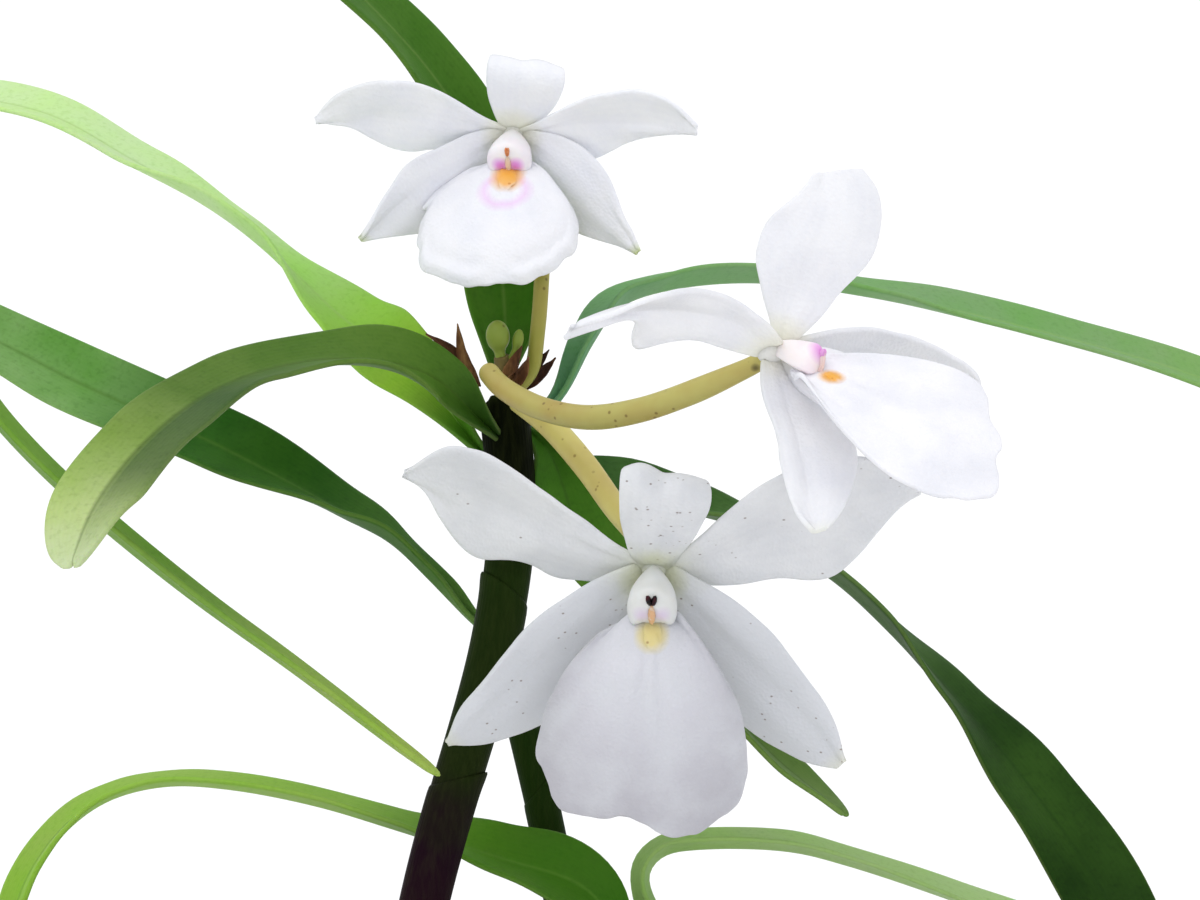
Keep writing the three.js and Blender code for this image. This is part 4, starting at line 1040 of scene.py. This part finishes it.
def lip_surface(spec, stance, seed):
    """The lip: a fan from its claw to a wavy far edge with a notch, bent down as it goes out."""
    reach, shift = spec["reach"], Vector((seed * 3.7, 0, 0))
    turned = Matrix.Rotation(math.radians(spec["roll"]), 3, "Z")
    claw = Vector((0, *spec["start"]))

    def pitch(d):
        return math.radians(spec["lift"] + spec["curl"] * ease(d))

    line = [claw]
    for i in range(MIDLINE_STEPS):
        e = pitch((i + 0.5) / MIDLINE_STEPS)
        line.append(line[-1] + Vector((0, -math.cos(e), math.sin(e))) * reach / MIDLINE_STEPS)

    def surface(t, s):
        angle = math.radians(spec["spread"] * s)
        lobes = noise.noise(Vector((s * 11, 2, 0)) + shift)
        teeth = lobes + 0.7 * noise.noise(Vector((s * 30, 5, 0)) + shift)
        frill = 1 + spec["frill"] * teeth * (0.5 + ease(abs(s), 0.35, 0.7))
        edge = curved(spec["margin"], (s + 1) / 2) * frill
        far = mix(LIP_CLAW * reach, edge, t)
        side, down = far * math.sin(angle), far * math.cos(angle) / reach
        i = min(int(down * MIDLINE_STEPS), MIDLINE_STEPS - 1)
        point = line[i].lerp(line[i + 1], down * MIDLINE_STEPS - i)
        e = pitch(down)
        upper = Vector((0, math.sin(e), math.cos(e)))
        ruffle = 0.3 * t**5 * math.sin(s * 13 + seed)
        ripple = 0.9 * t * noise.noise(Vector((s * 2.6, t * 2.2, 4)) + shift)
        keels = 0.1 * ease(t, 0.15, 0.3) * (1 - ease(t, 0.4, 0.8)) * math.cos(s * 30) * math.exp(-30 * s * s)
        tuck = spec["tuck"] * ease(t, 0.84, 1) ** 2 * (1 - hill(s, 0, 0.1)) * (1 - s**4)
        lobed = ease(abs(s), 0.04, 0.12) * (1 - ease(abs(s), 0.4, 0.55))
        rim = spec["rim"] * lobed * (hill(t, 0.94, 0.04) - 0.8 * hill(t, 0.85, 0.05))
        height = ruffle + ripple + keels + rim - 1.6 * tuck
        height -= spec["drop"] * reach * (side / reach) ** 2
        back = Vector((0, math.cos(e), -math.sin(e))) * tuck
        point = point + Vector((side, 0, 0)) + upper * height + back
        return stance.place(claw + turned @ (point - claw))

    return surface


# The column's half widths, and its heights above and below its axis, from its foot to its end
COLUMN_LENGTH = 5.1
COLUMN_DOME = 1.3
COLUMN_WIDTHS = (0.6, 1.4, 1.95, 2.15, 2.2)
COLUMN_TOPS = (0.85, 1.3, 1.6, 1.8, 1.9)
COLUMN_FEET = (0.9, 1.15, 1.5, 1.8, 2.0)
# The share of the column's rings that lie on its sides, below the dome
COLUMN_SIDES = 0.5


def column_place(stance, wide, top, foot, leg_length):
    """The column: an arched body that widens from the bloom's middle to a round end with two short legs."""

    def place(k, angle, out):
        f = max(k - COLUMN_SIDES, 0) / (1 - COLUMN_SIDES)
        side = mix(-0.2, COLUMN_LENGTH - COLUMN_DOME, min(k / COLUMN_SIDES, 1))
        z = side + COLUMN_DOME * math.sin(f * math.pi / 2)
        t = clamp(z / COLUMN_LENGTH)
        grow = math.cos(f * math.pi / 2) * out
        x = wide * curved(COLUMN_WIDTHS, t) * math.cos(angle) * grow * mix(1.0, 0.8, max(math.sin(angle), 0))
        high = top * curved(COLUMN_TOPS, t) if angle > 0 else foot * curved(COLUMN_FEET, t)
        y = high * math.sin(angle) * grow
        leg = ease(abs(x) / wide, 0.6, 1.9) * ease(-math.sin(angle), -0.3, 0.4)
        y -= leg_length * leg * ease(t, 0.1, 0.8)
        groove = hill(x, 0, 0.42) * ease(1 - y, 0.2, 1.0)
        return stance.place((x, y, z - 0.2 * f * groove + 0.3 * leg * t))

    return place


def lump(centre, axes, finish, seed=0, rough=0.0):
    """A small rounded body with a bumpy skin, round its centre and out to the ends of its half axes."""
    bpy.ops.object.select_all(action="DESELECT")
    bpy.ops.mesh.primitive_ico_sphere_add(subdivisions=4, radius=1)
    piece = bpy.context.object
    for vertex in piece.data.vertices:
        way = vertex.co.normalized()
        swell = 1 + rough * noise.noise(way * 2.6 + Vector((seed, 0, 0)))
        vertex.co = (centre + (axes[0] * way.x + axes[1] * way.y + axes[2] * way.z) * swell) * MM
    piece.data.materials.append(finish)
    bpy.ops.object.shade_smooth()
    return piece


# Colours of each bloom, and the places and sizes of its callus, anther and column. A stain is a place in the
# bloom, strengths at distances from it, and a colour.
BLOOM_COLOURS = {
    # This bloom hangs in shade: its greyer white, shade, sepal and lip colours, and the darker lip from 0.3
    # of its length on, are painted shade
    "front_bloom": {
        "white": "dddee1", "shade": "ccced3", "sepal": "ced0d5", "tip": "d2d2b8", "foot": "d0d3b8",
        "lip": "d2d2d9", "lip_tip": "b0afb6", "lip_tip_from": 0.3,
        "throat": [
            ((0, 0.8, 0.4), [(0.0, 0.45), (1.0, 0.4), (2.2, 0.0)], "b8bb8c"),
            ((-1.4, -0.3, 1.1), [(0.0, 0.6), (0.8, 0.4), (1.8, 0.0)], "b2b584"),
            ((1.4, -0.3, 1.1), [(0.0, 0.6), (0.8, 0.4), (1.8, 0.0)], "b2b584"),
        ],
        "column": ("e0e1e0", "d9dad6"),
        "face": [
            ((-0.75, -0.4, 4.9), [(0.0, 0.5), (0.3, 0.4), (1.0, 0.0)], "cfaee0"),
            ((0.75, -0.4, 4.9), [(0.0, 0.5), (0.3, 0.4), (1.0, 0.0)], "cfaee0"),
        ],
        "anther": ("0c0208", "50081a"), "stripe": "dcae86", "callus": "dccd8c", "fleck": "8a5a34",
        "callus_at": 0.13, "callus_size": (1.15, 1.8, 0.45), "crescent": [], "specks": (0.5, 0.14, 0.06),
        "lobes": (0.21, 0.24, 0.52), "form": (0.98, 1.0, 1.1, 0.9), "rise": 0.0,
    },
    "top_bloom": {
        "white": "f4f4f9", "shade": "e6e7f2", "sepal": "eeeef4", "tip": "bccb7c", "foot": "eaece2",
        "lip": "f3f2f9", "lip_tip": "f0f0f6", "lip_tip_from": 0.8,
        "throat": [((0, 0.6, 0.4), [(0.0, 0.5), (1.7, 0.35), (3.2, 0.0)], "dcd9b0")],
        "column": ("f4f0f2", "f0e6ee"),
        "face": [
            ((-0.8, -0.5, 4.9), [(0.0, 0.9), (0.35, 0.75), (0.95, 0.0)], "dc78e6"),
            ((0.75, -0.5, 4.9), [(0.0, 0.9), (0.35, 0.75), (0.95, 0.0)], "dc78e6"),
        ],
        "anther": ("e8a070", "c86a38"), "stripe": "eccdb4", "callus": "f2b044", "fleck": "c87a2c",
        "callus_at": 0.17, "callus_size": (1.3, 2.3, 0.5),
        "crescent": [(0.0, 0.0), (1.1, 0.0), (1.9, 0.42), (2.8, 0.0)],
        "specks": (0, 0, 0), "lobes": (0.08, 0.17, 0.55), "form": (1.12, 1.0, 1.1, 0.9), "rise": 0.0,
    },
    "right_bloom": {
        "white": "eeeef2", "shade": "dfe0e8", "sepal": "eeeef2", "tip": "ececdf", "foot": "eeeee2",
        "lip": "f3f2f8", "lip_tip": "f3f2f8", "lip_tip_from": 0.8,
        "throat": [((0, 0.6, 0.4), [(0.0, 0.5), (1.7, 0.3), (3.0, 0.0)], "e2dec0")],
        "column": ("f6eeef", "f4e4ea"),
        "face": [((0.2, 1.7, 4.7), [(0.0, 0.9), (0.6, 0.7), (1.4, 0.0)], "e48ae0")],
        "anther": ("e6a0dc", "dc84d2"), "stripe": "f2d4d0", "callus": "f2ae44", "fleck": "b87030",
        "callus_at": 0.12, "callus_size": (0.8, 1.2, 0.4), "crescent": [],
        "specks": (0, 0, 0), "lobes": (0.1, 0.2, 0.4), "form": (0.7, 1.15, 0.35, 0.0), "rise": 0.9,
    },
}


def build_tepals(name, bloom, stance, colours, seed):
    rows, columns = ((40, 16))
    title = words(name)
    throat = [(stance.place(at), reach, tint) for at, reach, tint in colours["throat"]]
    white, shade, foot = colours["white"], colours["shade"], colours["foot"]
    sepal_look = ("sepal", colours["sepal"], colours["tip"])
    looks = (("top sepal", white, white), sepal_look, ("petal", white, white))
    top_sepal, sepal, petal = (
        petal_material(f"crystal {part} {title}", colour, shade, tip, foot, specks, throat)
        for (part, colour, tip), specks in zip(looks, colours["specks"])
    )
    finishes = [top_sepal, petal, petal, sepal, sepal]
    specs = [bloom["dorsal"], *bloom["petals"], *bloom["laterals"]]
    parts = [
        sheet(rows, columns, tepal_surface(spec, stance, seed + i), finish, TEPAL_THICKNESS)
        for i, (spec, finish) in enumerate(zip(specs, finishes))
    ]
    axes = [way * half for way, half in zip((stance.right, stance.up, stance.facing), HUB)]
    parts.append(lump(stance.place((0, 0, -0.5)), axes, petal))
    piece = join(f"crystal_tepals_{name}", parts)
    dress(piece, piece.name, [f"{name}_tepals"])


def build_lip(name, bloom, stance, colours, seed):
    title = words(name)
    rows, columns = ((48, 72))
    surface = lip_surface(bloom["lip"], stance, seed)
    at = colours["callus_at"]
    centre = surface(at, 0.0)
    ahead = (surface(at + 0.04, 0.0) - centre).normalized()
    across = (surface(at, 0.04) - centre).normalized()
    upward = ahead.cross(across).normalized()
    if upward.dot(stance.up) < 0:
        upward.negate()
    wide, long, high = colours["callus_size"]
    # The yellow fades out round two points of the callus, so that no edge shows between it and the lip
    fade = [(0.0, 0.95), (wide * 0.6, 0.9), (wide * 0.9, 0.55), (wide * 1.4, 0.0)]
    halos = [(centre + ahead * way * (long - wide), fade, colours["callus"]) for way in (-0.6, 0.6)]
    if colours["crescent"]:
        halos.insert(0, (centre + ahead * 2, colours["crescent"], "efa6f0"))
    lip_white = colours["lip"]
    finish = petal_material(
        f"crystal lip {title}", lip_white, colours["shade"], colours["lip_tip"], lip_white, stains=halos,
        tip_from=colours["lip_tip_from"],
    )
    lip = sheet(rows, columns, surface, finish, TEPAL_THICKNESS)
    dress(lip, f"crystal_lip_{name}", [f"{name}_lip"])

    mealy = speckled_material(
        f"mealy callus {title}", lip_white, lip_white, colours["fleck"], 0.6, 0.4, stains=halos
    )
    size = stance.size
    axes = [across * wide * size, ahead * long * size, upward * high * size]
    mound = lump(centre - upward * 0.05 * size, axes, mealy, seed, 0.25)
    dress(mound, f"mealy_callus_{name}", [f"{name}_callus"])


def build_column(name, stance, colours, seed):
    title = words(name)
    face = [(stance.place(at), reach, tint) for at, reach, tint in colours["face"]]
    waxy = waxy_material(f"waxy column {title}", *colours["column"], 0.4, 3, stains=face)
    body = tube(40, 30, column_place(stance, *colours["form"]), waxy)
    glossy = waxy_material(f"glossy stripe {title}", colours["stripe"], colours["column"][0], 0.3, 1.2, 0.6)
    right, up, facing = (way * stance.size for way in (stance.right, stance.up, stance.facing))
    middle = stance.place((0, colours["rise"] - 0.35, 4.95))
    stripe = lump(middle, [right * 0.3, up * 1.05, facing * 0.3], glossy, seed, 0.2)
    column = join(f"waxy_column_{name}", [body, stripe])
    dress(column, column.name, [f"{name}_column"])

    cap_finish = waxy_material(f"waxy anther cap {title}", *colours["anther"], 0.5, 0.6)
    apart, half_width, half_height = colours["lobes"]
    lobes = [
        lump(
            stance.place((apart * way, 1.1 + colours["rise"] * 0.4, 4.85)),
            [right * half_width, (up + right * apart * way) * half_height, facing * 0.3],
            cap_finish, seed, 0.15,
        )
        for way in (-1, 1)
    ]
    cap = join(f"anther_cap_{name}", lobes)
    dress(cap, cap.name, [f"{name}_anther"])


def build_bloom(name, bloom, seed):
    stance = Stance(*bloom["stance"])
    colours = BLOOM_COLOURS[name]
    build_tepals(name, bloom, stance, colours, seed)
    build_lip(name, bloom, stance, colours, seed)
    build_column(name, stance, colours, seed)


# The tip of the flowering cane: the end of the flower stem with its buds, and dry bracts round them. A bud
# has its line, its girth and the sides and rings that it is made of.
STEM_END = [(-0.6, 1.9, 244.2), (-0.6, 1.6, 246), (-0.9, 1.3, 247.6)]
BUDS = [
    ([(-0.8, 1.4, 246.6), (-1.1, 1.3, 248.4), (-1.3, 1.3, 250.8)], (0.5, 1.1, 0.66), (20, 24)),
    ([(-0.6, 1.6, 246.4), (0.4, 1.2, 248.2), (0.8, 1.1, 250)], (0.3, 0.52, 0.75), (18, 20)),
]
BRACT_WIDTH = 1.5
BRACT_TWIST = 70
BRACT_ROLL = 75
BRACTS = {
    "left": [
        [(-3.4, 3.8, 244.4), (-4.2, 3.2, 247.4), (-4.9, 2.6, 250.4)],
        [(-3.6, 3.8, 244.6), (-5.6, 3.4, 247.6), (-7.8, 3, 249.4)],
    ],
    "right": [
        [(0.6, 3.2, 244.6), (2.4, 3.8, 246.2), (3.4, 3.8, 247.9)],
        [(0.8, 3.2, 244.6), (2.6, 3.6, 246), (4, 3.4, 247.2)],
    ],
    "middle": [
        [(-0.3, 0.9, 245.4), (0.5, 0.5, 247), (1, 0.5, 248.6)],
        [(-0.1, 0.9, 245), (0.9, 0.5, 246.4), (1.6, 0.4, 247.6)],
    ],
}


def bract_surface(points, width, seed):
    """A dry bract: a papery blade rolled like a gutter, which narrows to a twisted point."""
    route = Route(points)
    twist = math.radians(BRACT_TWIST if seed % 2 else -BRACT_TWIST)

    def surface(t, s):
        tangent = route.tangent(t)
        upper = (FRONT - tangent * FRONT.dot(tangent)).normalized()
        upper = Matrix.Rotation(twist * t, 3, tangent) @ upper
        half = width / 2 * mix(0.8, 1, ease(t, 0, 0.3)) * (1 - t**2.4) + 0.04
        crinkle = 0.12 * noise.noise(Vector((t * 6, s * 2, seed * 3)))
        bend = math.radians(BRACT_ROLL * s)
        rise = half * (1 - math.cos(bend)) + crinkle * ease(t, 0, 0.2)
        return route.at(t) + upper.cross(tangent) * half * math.sin(bend) + upper * rise

    return surface


def bud_radius(stalk, body, middle):
    """The girth of a bud along its line: a thin stalk and a round body about the middle given."""

    def radius(t, angle):
        swell = body * math.sqrt(clamp(1 - ((t - middle) / (1 - middle)) ** 2))
        return max(swell, stalk * (t < middle) * math.sqrt(clamp(t / 0.05)))

    return radius


def build_tip():
    green = speckled_material("bud skin", "748a34", "8c9a40", "5a4420", 0.4, 0.3)
    woody = speckled_material("flower stem end", "5c5428", "6b5c30", "38240f", 0.6, 0.6)

    def angled(t, angle):
        return mix(1.15, 0.7, t) * (1 + 0.12 * math.sin(3 * angle))

    parts = [stem(STEM_END, angled, 16, 12, woody)]
    for points, girth, (sides, rings) in BUDS:
        parts.append(stem(points, bud_radius(*girth), sides, rings, green, rounded=True))
    buds = join("buds_on_stem_end", parts)
    dress(buds, buds.name, ["flower_buds"])

    browns = ("3a2012", "6b4426", "9a7446")
    papery = earthy_material("papery bract", browns, 2.0, 0.3, 0.8, 0.0001, (1, 1, 0.3))
    for side, routes in BRACTS.items():
        blades = []
        for i, points in enumerate(routes):
            surface = bract_surface(points, BRACT_WIDTH, 40 + i)
            blades.append(sheet(20, 6, surface, papery, BRACT_THICKNESS))
        piece = join(f"papery_bracts_{side}", blades)
        dress(piece, piece.name, [f"dry_bracts_{side}"] if side != "middle" else [])


# The rhizome lies on the bark from cane to cane, with the roots
RHIZOME = [(-33, -12, 84.6), (-19, -5, 84.2), (-4, 9, 84), (10, 20, 84.4), (21, 12, 84.2), (25, 3, 84),
           (33, -13, 84.4)]
RHIZOME_BRANCH = [(-4, 9, 84), (-9, 16, 84.2), (-14, 21, 84.4)]
RHIZOME_RADIUS = 2.8
RHIZOME_KNUCKLES = 110
ROOT_RADII = (1.1, 0.8)
ROOTS = [
    [(-30, -11, 84), (-30, -20, 85), (-25, -29, 84.5), (-16, -34, 79)],
    [(-33, -12, 84), (-39, -6, 85), (-38, 6, 84), (-31, 14, 78)],
    [(-17, -4, 84), (-12, -13, 85.4), (-3, -19, 84.6), (4, -27, 78)],
    [(-4, 9, 84), (-14, 7, 85.4), (-25, 10, 84.4), (-32, 20, 78)],
    [(8, 19, 84), (2, 28, 85.4), (-8, 32, 84.6), (-17, 34, 79)],
    [(22, 10, 84), (31, 14, 85.2), (37, 9, 84.4), (40, 0, 79)],
    [(25, 2, 84), (15, -3, 85.4), (8, -10, 84.4), (14, -20, 79)],
    [(33, -13, 84), (27, -22, 85), (18, -30, 84), (10, -36, 79)],
]


def build_rhizome():
    scaly = earthy_material("scaly rhizome", ("4a3520", "7a5f38", "8f8348"), 3.0, 0.6, 0.75, 0.0004)
    velamen = earthy_material("spongy root skin", ("a39c80", "c9c5ae", "dedbca"), 3.0, 0.4, 0.8, 0.0002)

    def knuckled(t, angle):
        lumpy = 1 + 0.07 * math.sin(t * RHIZOME_KNUCKLES)
        return RHIZOME_RADIUS * lumpy * math.sqrt(clamp(min(t, 1 - t) / 0.02))

    parts = [stem(RHIZOME, knuckled, 20, 120, scaly)]
    parts.append(stem(RHIZOME_BRANCH, lambda t, angle: knuckled(t, angle) * 0.85, 16, 30, scaly))
    for i, points in enumerate(ROOTS):
        def thickness(t, angle, i=i):
            lumpy = 1 + 0.08 * noise.noise(Vector((t * 9, math.cos(angle), i * 3.0)))
            return mix(*ROOT_RADII, t) * lumpy * math.sqrt(clamp((1 - t) / 0.03))

        parts.append(stem(points, thickness, 12, 30, velamen))
    for i, cane in enumerate(CANES.values()):
        x, y, z = cane["route"][0]
        girth = cane["radius"] + 1.1
        points = [(x, y, z - 5), (x, y, z - 1.5), (x, y, z + 1.6)]
        parts.append(stem(points, lambda t, angle, g=girth: g * mix(1.05, 0.8, t**2), 20, 14, scaly))
    piece = join("scaly_rhizome_and_roots", parts)
    dress(piece, piece.name, ["rhizome_and_roots"])


def pot_radius(z):
    """The outer radius of the pot's flared wall at a height."""
    return mix(POT_FOOT_RADIUS, POT_RIM_RADIUS - 3, z / POT_HEIGHT)


def inside_radius(z):
    return pot_radius(z) - POT_WALL


# Bark chips: limits of their half lengths, widths and heights, and of their tilt in radians
CHIPS = 210
CHIP_SIZES = ((4, 7.5), (2.4, 4), (1.0, 1.8))
CHIP_TILT = 0.4
CHIP_SEED = 11


def build_bark():
    """Pine bark chips laid flat over each other on a dark core that fills the pot."""
    bark = earthy_material("pine bark", ("2c1a10", "5a3820", "8a5c38", "6b4528"), 3.5, 0.5, 0.92, 0.0005)
    edge = BARK_TOP - 3
    profile = [
        (inside_radius(POT_FLOOR) - 0.3, POT_FLOOR + 0.3), (inside_radius(edge) - 0.3, edge - 2),
        (inside_radius(edge) * 0.8, edge), (6, BARK_TOP - 2),
    ]
    last = len(profile) - 1

    def place(k, angle, out):
        i = min(int(k * last), last - 1)
        r, z = (mix(profile[i][j], profile[i + 1][j], k * last - i) for j in (0, 1))
        return Vector((math.cos(angle) * r * out, math.sin(angle) * r * out, z))

    parts = [tube(48, 12, place, bark)]
    bpy.ops.object.select_all(action="DESELECT")
    bpy.ops.mesh.primitive_cube_add(size=2)
    chip = bpy.context.object
    bpy.ops.object.mode_set(mode="EDIT")
    bpy.ops.mesh.subdivide(number_cuts=3)
    bpy.ops.object.mode_set(mode="OBJECT")
    chip.data.materials.append(bark)
    between = seeded(CHIP_SEED)
    for i in range(CHIPS):
        reach = (inside_radius(edge) - 5) * math.sqrt((i + 0.5) / CHIPS)
        angle = i * math.pi * (3 - math.sqrt(5))
        size = Vector([between(*limits) for limits in CHIP_SIZES])
        turned = Matrix.Rotation(between(0, math.pi), 4, "Z")
        for axis in "XY":
            turned = turned @ Matrix.Rotation(between(-CHIP_TILT, CHIP_TILT), 4, axis)
        height = BARK_TOP - 1.8 - 1.6 * (reach / inside_radius(edge)) ** 2 + between(-0.8, 1.2)
        centre = Vector((reach * math.cos(angle), reach * math.sin(angle), height))
        copy = chip.copy()
        copy.data = chip.data.copy()
        bpy.context.collection.objects.link(copy)
        for vertex in copy.data.vertices:
            way = vertex.co
            rough = 1 + 0.28 * noise.noise(way * 1.3 + Vector((i * 4.1, 0, 0)))
            rounder = 1 / max(way.length, 1) ** 0.35
            local = Vector((way.x * size.x, way.y * size.y, way.z * size.z)) * rough * rounder
            vertex.co = (centre + turned @ local) * MM
        parts.append(copy)
    bpy.data.objects.remove(chip)
    piece = join("pine_bark_chips", parts)
    dress(piece, piece.name, ["potting_bark"])


DRAIN_HOLES = 4
DRAIN_RADIUS = 4
DRAIN_AT = 18


def build_pot():
    """A thrown and fired clay pot: a flared wall, a band round the rim and drain holes."""
    reds = ("a85e3a", "b4683f", "bc7248", "b66c44")
    clay = earthy_material("terracotta", reds, 18.0, 0.7, 0.88, 0.00015, (1, 1, 0.6))
    band = POT_HEIGHT - POT_BAND
    rim = POT_RIM_RADIUS
    profile = [
        (POT_FOOT_RADIUS - 1.2, 0), (POT_FOOT_RADIUS - 0.4, 0.2), (POT_FOOT_RADIUS, 1.0),
        *[(pot_radius(z), z) for z in (10, 30, 50, band - 3)], (pot_radius(band) + 0.1, band - 0.3),
        (rim - 1.4, band), (rim - 0.3, band + 0.7), (rim, band + 2), (rim, band + 8), (rim, POT_HEIGHT - 3),
        (rim - 0.2, POT_HEIGHT - 1), (rim - 1, POT_HEIGHT - 0.1), (rim - 2.2, POT_HEIGHT),
        (rim - 5.6, POT_HEIGHT), (rim - 6.8, POT_HEIGHT - 0.4), (rim - 7.4, POT_HEIGHT - 1.6),
        *[(inside_radius(z), z) for z in (80, 50, 20)],
        (inside_radius(POT_FLOOR), POT_FLOOR + 0.6), (inside_radius(POT_FLOOR) - 1, POT_FLOOR),
    ]
    last = len(profile) - 1

    def place(k, angle, out):
        r, z = profile[round(k * last)]
        return Vector((math.cos(angle) * r * out, math.sin(angle) * r * out, z))

    pot = tube(96, last, place, clay)
    for i in range(DRAIN_HOLES):
        angle = math.radians(45 + 360 / DRAIN_HOLES * i)
        bpy.ops.mesh.primitive_cylinder_add(vertices=32, radius=DRAIN_RADIUS * MM, depth=4 * POT_FLOOR * MM)
        drill = bpy.context.object
        away = (DRAIN_AT * MM * math.cos(angle), DRAIN_AT * MM * math.sin(angle), 0)
        drill.data.transform(Matrix.Translation(away))
        apply(pot, "BOOLEAN", object=drill, operation="DIFFERENCE", solver="EXACT")
        bpy.data.objects.remove(drill)
    alone(pot)
    bpy.ops.object.shade_smooth_by_angle(angle=math.radians(35))
    dress(pot, "terracotta_pot", ["clay_pot"])


# The picture: floor, light and camera. The floor, in metres, is wide enough for no edge of it to show.
FLOOR_WIDTH = 200
ROOM_LIGHT = 0.9
LAMP_LIGHT = 0.8
LAMP_SPREAD = 50
LAMP_WAY = (0.35, 0.4, -1)
CAMERA_TARGET = (8, -20, 242)
CAMERA_DISTANCE = 280
CAMERA_DOWN = 8
LENS = 100
SENSOR_WIDTH = 36


def build_studio():
    bpy.ops.mesh.primitive_plane_add(size=FLOOR_WIDTH, location=(0, 0, -0.5 * MM))
    floor = bpy.context.object
    floor.name = "pale_floor"
    material, tree, shader = new_material("matt white floor", 0.9, 0.1)
    feed(tree, shader, {"Base Color": hue("fefefe")})
    floor.data.materials.append(material)

    world = bpy.data.worlds.new("soft white room")
    bpy.context.scene.world = world
    world.use_nodes = True
    backdrop = world.node_tree.nodes["Background"]
    feed(world.node_tree, backdrop, {"Color": (0.97, 0.98, 1, 1), "Strength": ROOM_LIGHT})

    # A wide soft light from above, a little to the left
    light = bpy.data.lights.new("wide soft light", "SUN")
    light.energy = LAMP_LIGHT
    light.angle = math.radians(LAMP_SPREAD)
    lamp = bpy.data.objects.new("wide soft light", light)
    lamp.rotation_euler = Vector(LAMP_WAY).to_track_quat("-Z", "Y").to_euler()
    bpy.context.collection.objects.link(lamp)


def build_camera():
    down = math.radians(CAMERA_DOWN)
    away = Vector((0, math.cos(down), -math.sin(down)))
    camera = bpy.data.cameras.new("portrait camera")
    camera.lens = LENS
    camera.sensor_width = SENSOR_WIDTH
    camera.clip_start = 0.01
    eye = bpy.data.objects.new("portrait camera", camera)
    eye.location = (Vector(CAMERA_TARGET) - away * CAMERA_DISTANCE) * MM
    eye.rotation_euler = (math.radians(90 - CAMERA_DOWN), 0, 0)
    bpy.context.collection.objects.link(eye)
    bpy.context.scene.camera = eye
    bpy.context.scene.view_settings.view_transform = "Standard"


build_camera()
build_studio()
build_leaves()
build_canes()
build_stalks()
for index, (bloom_name, bloom_parts) in enumerate(BLOOMS.items()):
    build_bloom(bloom_name, bloom_parts, 10 * index + 1)
build_tip()
build_rhizome()
build_bark()
build_pot()
